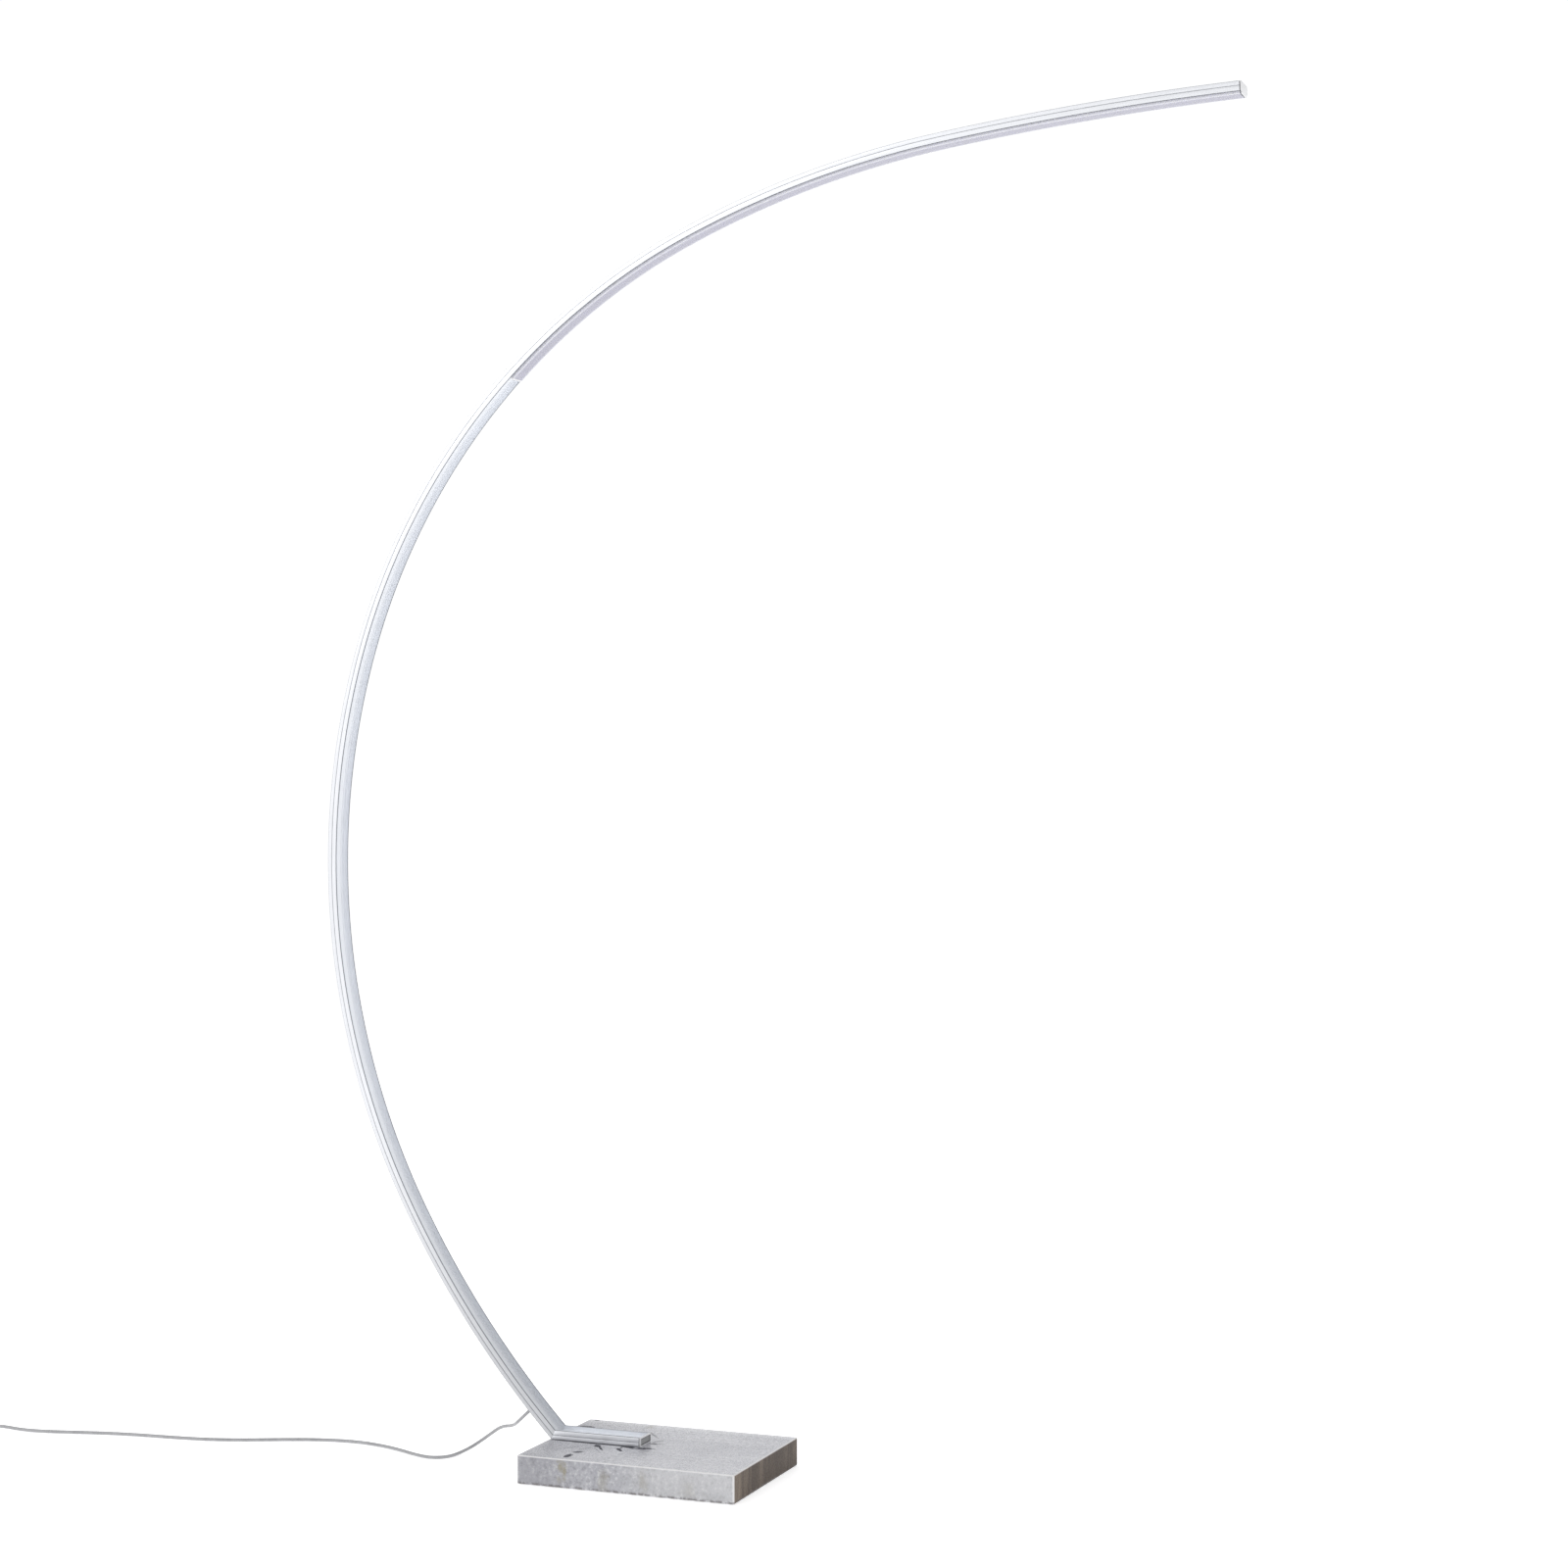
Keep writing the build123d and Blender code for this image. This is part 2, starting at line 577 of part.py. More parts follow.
with BuildPart() as cord_gland:
    with BuildSketch(gland_axis.offset(-OUTER_WALL - GLAND_INSIDE)):
        Circle(GLAND_HOLE_RADIUS)
    extrude(amount=OUTER_WALL + GLAND_INSIDE)
    with BuildSketch(gland_axis):
        Circle(GLAND_FLANGE_RADIUS)
    extrude(amount=GLAND_FLANGE)
    with BuildSketch(gland_axis.offset(GLAND_FLANGE)) as nose_root:
        Circle(GLAND_HOLE_RADIUS)
    with BuildSketch(gland_axis.offset(GLAND_FLANGE + GLAND_NOSE)) as nose_tip:
        Circle(GLAND_NOSE_RADIUS)
    loft()
write(cord_gland, "cord_gland")


def tuple_of(point):
    """A vector as three plain numbers."""
    return (point.X, point.Y, point.Z)


def relief_plane(centre, heading, reach, height):
    """The plane at a housing's end, facing out of it."""
    direction = (cos(radians(heading)), sin(radians(heading)), 0)
    origin = (centre[0] + reach * direction[0], centre[1] + reach * direction[1], height)
    return Plane(origin, x_dir=(0, 0, 1), z_dir=direction)


SWITCH_INLET = relief_plane(SWITCH_CENTRE, SWITCH_HEADING + 180, SWITCH_LENGTH / 2, CORD_HEIGHT_AT_SWITCH)
SWITCH_OUTLET = relief_plane(SWITCH_CENTRE, SWITCH_HEADING, SWITCH_LENGTH / 2, CORD_HEIGHT_AT_SWITCH)
ADAPTER_INLET = relief_plane(ADAPTER_CENTRE, ADAPTER_HEADING, ADAPTER_LENGTH / 2, ADAPTER_HEIGHT / 2)
GLAND_MOUTH = gland_axis.offset(GLAND_FLANGE + GLAND_NOSE)

lamp_cord_route = [
    tuple_of(GLAND_MOUTH.origin),
    tuple_of(GLAND_MOUTH.offset(CORD_STRAIGHT).origin),
    *LAMP_CORD_ROUTE,
    tuple_of(SWITCH_INLET.offset(RELIEF_LENGTH + CORD_STRAIGHT).origin),
    tuple_of(SWITCH_INLET.offset(RELIEF_LENGTH).origin),
]
switch_cord_route = [
    tuple_of(SWITCH_OUTLET.offset(RELIEF_LENGTH).origin),
    tuple_of(SWITCH_OUTLET.offset(RELIEF_LENGTH + CORD_STRAIGHT).origin),
    *SWITCH_CORD_ROUTE,
]
adapter_cord_route = [
    *ADAPTER_CORD_ROUTE,
    tuple_of(ADAPTER_INLET.offset(ADAPTER_RELIEF_LENGTH).origin),
]

with BuildPart() as lamp_cord:
    with BuildLine() as lamp_cord_path:
        FilletPolyline(*lamp_cord_route, radius=corner_radii(lamp_cord_route))
    with BuildSketch(Plane(lamp_cord_path.line @ 0, z_dir=lamp_cord_path.line % 0)):
        Circle(CORD_RADIUS)
    sweep()
write(lamp_cord, "lamp_cord")

with BuildPart() as switch_cord:
    with BuildLine() as switch_cord_path:
        FilletPolyline(*switch_cord_route, radius=corner_radii(switch_cord_route))
    with BuildSketch(Plane(switch_cord_path.line @ 0, z_dir=switch_cord_path.line % 0)):
        Circle(CORD_RADIUS)
    sweep()
write(switch_cord, "switch_cord")

with BuildPart() as adapter_cord:
    with BuildLine() as adapter_cord_path:
        FilletPolyline(*adapter_cord_route, radius=corner_radii(adapter_cord_route))
    with BuildSketch(Plane(adapter_cord_path.line @ 0, z_dir=adapter_cord_path.line % 0)):
        Circle(CORD_RADIUS)
    sweep()
write(adapter_cord, "adapter_cord")

for name, route, path, tube in (
    ("lamp_cord", lamp_cord_route, lamp_cord_path, lamp_cord),
    ("switch_cord", switch_cord_route, switch_cord_path, switch_cord),
    ("adapter_cord", adapter_cord_route, adapter_cord_path, adapter_cord),
):
    length = sum(edge.length for edge in path.edges())
    filling = tube.part.volume / (pi * CORD_RADIUS**2 * length)
    print(name, "length", round(length), "filling", round(filling, 4))
    print(name, "bend radii", [round(radius) for radius in corner_radii(route)])

# ---------------------------------------------------------------- foot switch

SWITCH_PLANE = Plane(
    (SWITCH_CENTRE[0], SWITCH_CENTRE[1], 0),
    x_dir=(cos(radians(SWITCH_HEADING)), sin(radians(SWITCH_HEADING)), 0),
    z_dir=(0, 0, 1),
)
CASE_SCREW_X = (-CASE_SCREW_SPACING / 2, CASE_SCREW_SPACING / 2)
CEILING = SWITCH_HEIGHT - SWITCH_WALL
FLANGE_TOP = CEILING - BUTTON_FLANGE_PLAY
BUTTON_BOTTOM = FLANGE_TOP - BUTTON_FLANGE_HEIGHT
SPRING_BOTTOM = SWITCH_WALL + MODULE_HEIGHT

with BuildPart() as switch_case_lower:
    with BuildSketch(SWITCH_PLANE):
        RectangleRounded(SWITCH_LENGTH, SWITCH_WIDTH, SWITCH_CORNER_RADIUS)
    extrude(amount=SWITCH_SPLIT)
    with BuildSketch(SWITCH_PLANE.offset(SWITCH_WALL)):
        offset_corner = SWITCH_CORNER_RADIUS - SWITCH_WALL
        RectangleRounded(SWITCH_LENGTH - 2 * SWITCH_WALL, SWITCH_WIDTH - 2 * SWITCH_WALL, offset_corner)
    extrude(amount=SWITCH_SPLIT, mode=Mode.SUBTRACT)
    with BuildSketch(SWITCH_PLANE):
        with Locations(*[(x, 0) for x in CASE_SCREW_X]):
            Circle(CASE_BOSS_RADIUS)
    extrude(amount=SWITCH_SPLIT)
    with BuildSketch(SWITCH_PLANE):
        with Locations(*[(x, 0) for x in CASE_SCREW_X]):
            Circle(CASE_SCREW_RADIUS + SCREW_PLAY)
    extrude(amount=SWITCH_SPLIT, mode=Mode.SUBTRACT)
    with BuildSketch(SWITCH_PLANE):
        with Locations(*[(x, 0) for x in CASE_SCREW_X]):
            Circle(CASE_SCREW_HEAD_RADIUS + SCREW_PLAY)
    extrude(amount=2 * SWITCH_WALL, mode=Mode.SUBTRACT)
write(switch_case_lower, "switch_case_lower")

with BuildPart() as switch_case_upper:
    with BuildSketch(SWITCH_PLANE.offset(SWITCH_SPLIT)):
        RectangleRounded(SWITCH_LENGTH, SWITCH_WIDTH, SWITCH_CORNER_RADIUS)
    extrude(amount=SWITCH_HEIGHT - SWITCH_SPLIT)
    fillet(switch_case_upper.faces().sort_by(Axis.Z)[-1].edges(), SWITCH_TOP_RADIUS)
    with BuildSketch(SWITCH_PLANE.offset(SWITCH_SPLIT)):
        RectangleRounded(SWITCH_LENGTH - 2 * SWITCH_WALL, SWITCH_WIDTH - 2 * SWITCH_WALL, offset_corner)
    extrude(amount=CEILING - SWITCH_SPLIT, mode=Mode.SUBTRACT)
    with BuildSketch(SWITCH_PLANE.offset(SWITCH_SPLIT)):
        with Locations(*[(x, 0) for x in CASE_SCREW_X]):
            Circle(CASE_BOSS_RADIUS)
            Circle(CASE_SCREW_RADIUS + SCREW_PLAY, mode=Mode.SUBTRACT)
    extrude(amount=CEILING - SWITCH_SPLIT)
    with BuildSketch(SWITCH_PLANE.offset(SWITCH_SPLIT)):
        Circle(BUTTON_RADIUS + BUTTON_PLAY)
    extrude(amount=SWITCH_HEIGHT, mode=Mode.SUBTRACT)
write(switch_case_upper, "switch_case_upper")

with BuildPart() as switch_screws:
    for screw_x in CASE_SCREW_X:
        place = Plane(SWITCH_PLANE.from_local_coords((screw_x, 0, 2 * SWITCH_WALL)))
        with BuildSketch(place):
            Circle(CASE_SCREW_HEAD_RADIUS)
        extrude(amount=-SWITCH_WALL)
        with BuildSketch(place):
            Circle(CASE_SCREW_RADIUS)
        extrude(amount=SWITCH_HEIGHT - 4 * SWITCH_WALL)
write(switch_screws, "switch_screws")

with BuildPart() as switch_module:
    with BuildSketch(SWITCH_PLANE.offset(SWITCH_WALL)):
        Rectangle(MODULE_LENGTH, MODULE_WIDTH)
    extrude(amount=MODULE_HEIGHT)
    chamfer(switch_module.faces().sort_by(Axis.Z)[-1].edges(), 0.5)
write(switch_module, "switch_module")

with BuildPart() as switch_button:
    with BuildSketch(SWITCH_PLANE.offset(BUTTON_BOTTOM)):
        Circle(BUTTON_RADIUS + BUTTON_FLANGE)
    extrude(amount=BUTTON_FLANGE_HEIGHT)
    with BuildSketch(SWITCH_PLANE.offset(BUTTON_BOTTOM)):
        Circle(BUTTON_RADIUS)
    extrude(amount=SWITCH_HEIGHT + BUTTON_PROUD - BUTTON_BOTTOM)
    fillet(switch_button.faces().sort_by(Axis.Z)[-1].edges(), 1.0)
write(switch_button, "switch_button")

with BuildPart() as switch_spring:
    spring_height = BUTTON_BOTTOM - SPRING_BOTTOM - 2 * SPRING_WIRE
    with BuildLine(SWITCH_PLANE.offset(SPRING_BOTTOM + SPRING_WIRE)) as spring_line:
        Helix(pitch=spring_height / SPRING_TURNS, height=spring_height, radius=SPRING_RADIUS)
    with BuildSketch(Plane(spring_line.line @ 0, z_dir=spring_line.line % 0)):
        Circle(SPRING_WIRE)
    sweep(is_frenet=True)
write(switch_spring, "switch_spring")


def tapered_relief(plane, length):
    """The two ends of a strain relief that narrows away from its housing."""
    with BuildSketch(plane, mode=Mode.PRIVATE) as root:
        Circle(RELIEF_ROOT_RADIUS)
    with BuildSketch(plane.offset(length), mode=Mode.PRIVATE) as end:
        Circle(RELIEF_TIP_RADIUS)
    return [root.sketch, end.sketch]


with BuildPart() as switch_relief_in:
    loft(tapered_relief(SWITCH_INLET, RELIEF_LENGTH))
write(switch_relief_in, "switch_relief_in")

with BuildPart() as switch_relief_out:
    loft(tapered_relief(SWITCH_OUTLET, RELIEF_LENGTH))
write(switch_relief_out, "switch_relief_out")

# ---------------------------------------------------------------- coiled lead and supply

with BuildPart() as cord_coil:
    with BuildSketch(Plane((*COIL_CENTRE, 0))):
        Circle(COIL_OUTER_RADIUS)
        Circle(COIL_INNER_RADIUS, mode=Mode.SUBTRACT)
    extrude(amount=COIL_HEIGHT)
    fillet(cord_coil.edges().filter_by(GeomType.CIRCLE), CORD_RADIUS - 0.3)
write(cord_coil, "cord_coil")

with BuildPart() as coil_tie:
    tie_heading = radians(TIE_HEADING)
    coil_middle = (COIL_OUTER_RADIUS + COIL_INNER_RADIUS) / 2
    tie_plane = Plane(
        (
            COIL_CENTRE[0] + coil_middle * cos(tie_heading),
            COIL_CENTRE[1] + coil_middle * sin(tie_heading),
            (COIL_HEIGHT + TIE_THICKNESS) / 2,
        ),
        x_dir=(cos(tie_heading), sin(tie_heading), 0),
        z_dir=(sin(tie_heading), -cos(tie_heading), 0),
    )
    with BuildSketch(tie_plane):
        tie_width = COIL_OUTER_RADIUS - COIL_INNER_RADIUS + 2 * TIE_THICKNESS
        RectangleRounded(tie_width, COIL_HEIGHT + TIE_THICKNESS, CORD_RADIUS)
        RectangleRounded(
            tie_width - 2 * TIE_THICKNESS,
            COIL_HEIGHT - TIE_THICKNESS,
            CORD_RADIUS - TIE_THICKNESS,
            mode=Mode.SUBTRACT,
        )
    extrude(amount=TIE_WIDTH / 2, both=True)
write(coil_tie, "coil_tie")

ADAPTER_END = relief_plane(ADAPTER_CENTRE, ADAPTER_HEADING, -ADAPTER_LENGTH / 2, ADAPTER_HEIGHT / 2)
ADAPTER_SEAM = ADAPTER_END.offset(ADAPTER_FRONT_LENGTH)
ADAPTER_INNER_RADIUS = ADAPTER_CORNER_RADIUS - ADAPTER_WALL

with BuildPart() as adapter_case_front:
    with BuildSketch(ADAPTER_END):
        RectangleRounded(ADAPTER_HEIGHT, ADAPTER_WIDTH, ADAPTER_CORNER_RADIUS)
    extrude(amount=ADAPTER_FRONT_LENGTH)
    with BuildSketch(ADAPTER_END.offset(ADAPTER_WALL)):
        RectangleRounded(ADAPTER_HEIGHT - 2 * ADAPTER_WALL, ADAPTER_WIDTH - 2 * ADAPTER_WALL, ADAPTER_INNER_RADIUS)
    extrude(amount=ADAPTER_FRONT_LENGTH, mode=Mode.SUBTRACT)
    with BuildSketch(ADAPTER_END):
        with Locations((0, -PIN_SPACING / 2), (0, PIN_SPACING / 2)):
            Circle(PIN_RADIUS + SCREW_PLAY)
    extrude(amount=ADAPTER_WALL, mode=Mode.SUBTRACT)
write(adapter_case_front, "adapter_case_front")

with BuildPart() as adapter_case_rear:
    with BuildSketch(ADAPTER_SEAM):
        RectangleRounded(ADAPTER_HEIGHT, ADAPTER_WIDTH, ADAPTER_CORNER_RADIUS)
    extrude(amount=ADAPTER_LENGTH - ADAPTER_FRONT_LENGTH)
    with BuildSketch(ADAPTER_SEAM):
        RectangleRounded(ADAPTER_HEIGHT - 2 * ADAPTER_WALL, ADAPTER_WIDTH - 2 * ADAPTER_WALL, ADAPTER_INNER_RADIUS)
    extrude(amount=ADAPTER_LENGTH - ADAPTER_FRONT_LENGTH - ADAPTER_WALL, mode=Mode.SUBTRACT)
write(adapter_case_rear, "adapter_case_rear")

with BuildPart() as adapter_pins:
    with BuildSketch(ADAPTER_END.offset(ADAPTER_WALL + PIN_INSIDE)):
        with Locations((0, -PIN_SPACING / 2), (0, PIN_SPACING / 2)):
            Circle(PIN_RADIUS)
    extrude(amount=-PIN_LENGTH - ADAPTER_WALL - PIN_INSIDE)
    tips = adapter_pins.faces().sort_by(Axis(ADAPTER_END.origin, ADAPTER_END.z_dir))[:2]
    fillet(tips.edges(), PIN_RADIUS / 2)
write(adapter_pins, "adapter_pins")

BOARD_START = ADAPTER_SEAM.offset(2 * ADAPTER_WALL)
BOARD_LOW = -ADAPTER_HEIGHT / 2 + ADAPTER_WALL
with BuildPart() as adapter_board:
    with BuildSketch(BOARD_START):
        with Locations((BOARD_LOW + BOARD_THICKNESS / 2, 0)):
            Rectangle(BOARD_THICKNESS, ADAPTER_WIDTH - 2 * ADAPTER_CORNER_RADIUS)
    extrude(amount=BOARD_LENGTH)
write(adapter_board, "adapter_board")

with BuildPart() as adapter_transformer:
    with BuildSketch(BOARD_START.offset((BOARD_LENGTH - TRANSFORMER_SIZE[0]) / 2)):
        with Locations((BOARD_LOW + BOARD_THICKNESS + TRANSFORMER_SIZE[2] / 2, 0)):
            Rectangle(TRANSFORMER_SIZE[2], TRANSFORMER_SIZE[1])
    extrude(amount=TRANSFORMER_SIZE[0])
    chamfer(adapter_transformer.edges().filter_by(Axis.Z), 1.0)
write(adapter_transformer, "adapter_transformer")

with BuildPart() as adapter_relief:
    loft(tapered_relief(ADAPTER_INLET, ADAPTER_RELIEF_LENGTH))
write(adapter_relief, "adapter_relief")
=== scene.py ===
"""Looks of an arc floor lamp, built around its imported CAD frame.

Metres, +Z up, in the frame's own axes: the origin is the centre of the base's underside, the arc stands
in the XZ plane, rises towards -X and reaches over towards +X. Sections of the bar are drawn as
(across, depth): across runs along Y, and depth is measured from the channel's rim away from the arc's centre.
"""

from __future__ import annotations

import logging
from dataclasses import dataclass
from enum import Enum
from math import cos, pi, radians, sin, tan

import bmesh
import bpy
import numpy as np
from mathutils import Matrix, Vector

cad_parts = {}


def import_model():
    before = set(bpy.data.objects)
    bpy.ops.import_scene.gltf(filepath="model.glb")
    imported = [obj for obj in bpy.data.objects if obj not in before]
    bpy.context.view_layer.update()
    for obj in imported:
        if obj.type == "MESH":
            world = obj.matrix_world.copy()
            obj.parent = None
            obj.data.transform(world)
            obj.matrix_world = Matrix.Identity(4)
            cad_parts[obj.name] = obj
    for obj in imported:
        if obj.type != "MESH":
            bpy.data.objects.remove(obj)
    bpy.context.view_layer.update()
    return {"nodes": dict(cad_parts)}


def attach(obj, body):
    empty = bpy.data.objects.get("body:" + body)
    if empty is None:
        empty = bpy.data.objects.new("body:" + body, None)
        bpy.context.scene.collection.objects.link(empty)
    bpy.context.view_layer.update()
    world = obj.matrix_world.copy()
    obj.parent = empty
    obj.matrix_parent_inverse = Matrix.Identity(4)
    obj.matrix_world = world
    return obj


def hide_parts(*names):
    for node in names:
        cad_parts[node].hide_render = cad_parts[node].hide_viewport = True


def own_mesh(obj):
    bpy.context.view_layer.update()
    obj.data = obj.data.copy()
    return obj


LOG = logging.getLogger("arc_lamp")
Array = np.ndarray
Socket = bpy.types.NodeSocket
Point = tuple[float, float, float]
Colour = tuple[float, float, float]
Outline = list[tuple[float, float, float]]
Steps = tuple[tuple[float, float], ...]

# Sockets of a Mix node that mixes colours
MIX_SHARE, MIX_FIRST, MIX_SECOND, MIX_RESULT = 0, 6, 7, 2


# ------------------------------------------------------------------ node trees


class NodeBoard:
    """A material's node tree, with short ways to add nodes and join them."""

    def __init__(self, name: str) -> None:
        """Start a material with an empty Principled shader.

        Args:
            name: the material's name.
        """
        self.material = bpy.data.materials.new(name)
        self.material.use_nodes = True
        self.tree = self.material.node_tree
        self.shader = self.tree.nodes["Principled BSDF"]

    def node(self, kind: str, **settings: object) -> bpy.types.Node:
        """Add a node and set its properties.

        Args:
            kind: the node's type name.
            settings: properties of the node.

        Returns:
            The new node.
        """
        made = self.tree.nodes.new(kind)
        for key, value in settings.items():
            setattr(made, key, value)
        return made

    def join(self, value: Socket | float | tuple, into: Socket) -> None:
        """Join an output to an input, or set the input when the value is plain.

        Args:
            value: an output, or a plain value.
            into: the input.
        """
        if isinstance(value, bpy.types.NodeSocket):
            self.tree.links.new(value, into)
        else:
            into.default_value = value

    def place(
        self,
        scale: Point = (1.0, 1.0, 1.0),
        location: Point = (0.0, 0.0, 0.0),
        turn: Point = (0.0, 0.0, 0.0),
        own_map: bool = False,
    ) -> Socket:
        """Coordinates of the piece, moved, turned and scaled.

        Args:
            scale: the pattern's scale along each axis.
            location: what is added after the turn and the scale.
            turn: the turn about each axis, in radians.
            own_map: whether to use the piece's own UV map, in metres, in place of its object space.

        Returns:
            The vector output.
        """
        coordinates = self.node("ShaderNodeTexCoord")
        mapping = self.node("ShaderNodeMapping")
        self.join(coordinates.outputs["UV" if own_map else "Object"], mapping.inputs["Vector"])
        mapping.inputs["Scale"].default_value = scale
        mapping.inputs["Location"].default_value = location
        mapping.inputs["Rotation"].default_value = turn
        return mapping.outputs["Vector"]

    def noise(self, point: Socket, scale: float, detail: float = 3.0, rough: float = 0.55, warp: float = 0.0) -> Socket:
        """Smooth noise from 0 to 1.

        Args:
            point: where it is read.
            scale: features per metre.
            detail: octaves.
            rough: how strong the finer octaves are.
            warp: how far the noise bends its own coordinates.

        Returns:
            The value output.
        """
        made = self.node("ShaderNodeTexNoise")
        self.join(point, made.inputs["Vector"])
        made.inputs["Scale"].default_value = scale
        made.inputs["Detail"].default_value = detail
        made.inputs["Roughness"].default_value = rough
        made.inputs["Distortion"].default_value = warp
        return made.outputs["Fac"]

    def sums(self, operation: str, first: Socket | float, second: Socket | float = 0.0) -> Socket:
        """One step of arithmetic on numbers.

        Args:
            operation: the step's name.
            first: the first number.
            second: the second number.

        Returns:
            The result's output.
        """
        made = self.node("ShaderNodeMath", operation=operation)
        self.join(first, made.inputs[0])
        self.join(second, made.inputs[1])
        return made.outputs[0]

    def ease(self, value: Socket, low: float, high: float, start: float = 0.0, end: float = 1.0) -> Socket:
        """A smooth step from start to end as the value goes from low to high.

        Args:
            value: the number that is read.
            low: where the step starts.
            high: where it ends.
            start: what it gives up to low.
            end: what it gives from high on.

        Returns:
            The result's output.
        """
        made = self.node("ShaderNodeMapRange", interpolation_type="SMOOTHSTEP")
        for given, into in zip((value, low, high, start, end), made.inputs):
            self.join(given, into)
        return made.outputs[0]

    def mix(self, share: Socket | float, first: Socket | Colour, second: Socket | Colour) -> Socket:
        """A colour between two, by a share from 0 to 1.

        Args:
            share: how much of the second colour there is.
            first: the colour at 0.
            second: the colour at 1.

        Returns:
            The colour's output.
        """
        made = self.node("ShaderNodeMix", data_type="RGBA")
        self.join(share, made.inputs[MIX_SHARE])
        for given, into in ((first, MIX_FIRST), (second, MIX_SECOND)):
            self.join(given if isinstance(given, bpy.types.NodeSocket) else (*given, 1.0), made.inputs[into])
        return made.outputs[MIX_RESULT]

    def axes(self, point: Socket) -> tuple[Socket, ...]:
        """The three coordinates of a point.

        Args:
            point: the vector output.

        Returns:
            The outputs of x, y and z.
        """
        split = self.node("ShaderNodeSeparateXYZ")
        self.join(point, split.inputs[0])
        return tuple(split.outputs)

    def blended(self, first: Socket, second: Socket, share: float) -> Socket:
        """Two numbers added: a share of the first and the rest of the second."""
        return self.sums("ADD", self.sums("MULTIPLY", first, share), self.sums("MULTIPLY", second, 1.0 - share))

    def centred(self, value: Socket, middle: float, gain: float) -> Socket:
        """How far a number is from a middle, times a gain."""
        return self.sums("MULTIPLY", self.sums("SUBTRACT", value, middle), gain)

    def bump(self, height: Socket, depth: float, strength: float = 0.5) -> None:
        """Raise the shader's surface by a height.

        Args:
            height: from 0 to 1.
            depth: how far 1 stands out, in metres.
            strength: the share of it that shows.
        """
        made = self.node("ShaderNodeBump")
        made.inputs["Strength"].default_value = strength
        made.inputs["Distance"].default_value = depth
        self.join(height, made.inputs["Height"])
        self.join(made.outputs["Normal"], self.shader.inputs["Normal"])

    def set(self, **values: Socket | float | tuple) -> None:
        """Set or join the shader's inputs, named with underscores for spaces.

        Args:
            values: a plain value or an output for each input.
        """
        for key, value in values.items():
            into = self.shader.inputs[key.replace("_", " ")]
            if isinstance(value, tuple) and len(value) == 3 and into.type == "RGBA":
                value = (*value, 1.0)
            self.join(value, into)


# ------------------------------------------------------------------ finishes


def toned(colour: Colour, by: float) -> Colour:
    """A colour times a factor, and no paler than white."""
    return tuple(min(1.0, by * channel) for channel in colour)


@dataclass(frozen=True)
class AnodisedAluminium:
    """Satin silver anodising over an extruded bar, with faint die lines along it."""

    name: str
    colour: Colour = (0.83, 0.84, 0.87)
    roughness: float = 0.36
    metallic: float = 0.75
    # painted shade towards the foot: the tone it reaches and the stretch of bar over which it fades
    foot_tone: float = 0.62
    foot_reach: tuple[float, float] = (0.05, 0.62)

    def material(self) -> bpy.types.Material:
        """Die lines are noise stretched forty times along the bar; painted shade deepens the tone smoothly towards the
        foot.

        Returns:
            The material.
        """
        board = NodeBoard(self.name)
        # depth: the mask of the painted shade towards the foot
        depth = board.ease(board.axes(board.place(own_map=True))[0], *self.foot_reach, 1.0, 0.0)
        lines = board.noise(board.place((6.0, 260.0, 1.0), own_map=True), 4.0, 4.0, 0.6)
        drift = board.noise(board.place(), 3.0, 2.0)
        grain = board.noise(board.place(), 2600.0, 2.0)
        tone = board.mix(board.ease(lines, 0.3, 0.7), toned(self.colour, 0.93), self.colour)
        tone = board.mix(board.ease(drift, 0.3, 0.7, 0.0, 0.25), tone, toned(self.colour, 0.9))
        tone = board.mix(depth, tone, toned(self.colour, self.foot_tone))
        board.set(Base_Color=tone, Metallic=self.metallic)
        board.set(Roughness=board.ease(lines, 0.2, 0.8, self.roughness - 0.05, self.roughness + 0.07))
        board.bump(board.blended(lines, grain, 0.7), 0.00004, 0.35)
        return board.material


@dataclass(frozen=True)
class Moulded:
    """Moulded plastic: a fine spark texture and faint tone changes."""

    name: str
    colour: Colour
    roughness: float = 0.42
    texture: float = 0.00006
    grains: float = 1500.0
    coat: float = 0.0

    def material(self) -> bpy.types.Material:
        """Texture is fine noise; tone and gloss drift with a slower noise.

        Returns:
            The material.
        """
        board = NodeBoard(self.name)
        grain = board.noise(board.place(), self.grains, 3.0, 0.6)
        drift = board.noise(board.place(), 22.0, 3.0)
        board.set(Base_Color=board.mix(board.ease(drift, 0.3, 0.7), toned(self.colour, 0.92), self.colour))
        board.set(Roughness=board.ease(drift, 0.2, 0.8, self.roughness - 0.04, self.roughness + 0.06))
        board.set(Coat_Weight=self.coat, Coat_Roughness=0.12)
        board.bump(grain, self.texture, 0.4)
        return board.material


@dataclass(frozen=True)
class OpalAcrylic:
    """Opal acrylic, unlit: a cool lilac body with a soft sheen and a faint lighter edge."""

    name: str
    colour: Colour = (0.44, 0.435, 0.515)
    edge: Colour = (0.66, 0.66, 0.72)
    half_width: float = 0.0150

    def material(self) -> bpy.types.Material:
        """The colour pales towards the two edges: a smooth step of the distance from the middle line.

        Returns:
            The material.
        """
        board = NodeBoard(self.name)
        away = board.sums("ABSOLUTE", board.axes(board.place())[1])
        pale = board.ease(away, self.half_width * 0.60, self.half_width * 0.97)
        cloud = board.noise(board.place(), 14.0, 3.0)
        body = board.mix(board.ease(cloud, 0.3, 0.7), toned(self.colour, 0.96), self.colour)
        board.set(Base_Color=board.mix(pale, body, self.edge))
        board.set(Roughness=board.ease(cloud, 0.2, 0.8, 0.30, 0.38))
        board.set(Subsurface_Weight=0.15, Subsurface_Radius=(0.003, 0.003, 0.004), Subsurface_Scale=1.0)
        board.bump(board.noise(board.place(), 900.0, 2.0), 0.00002, 0.3)
        return board.material


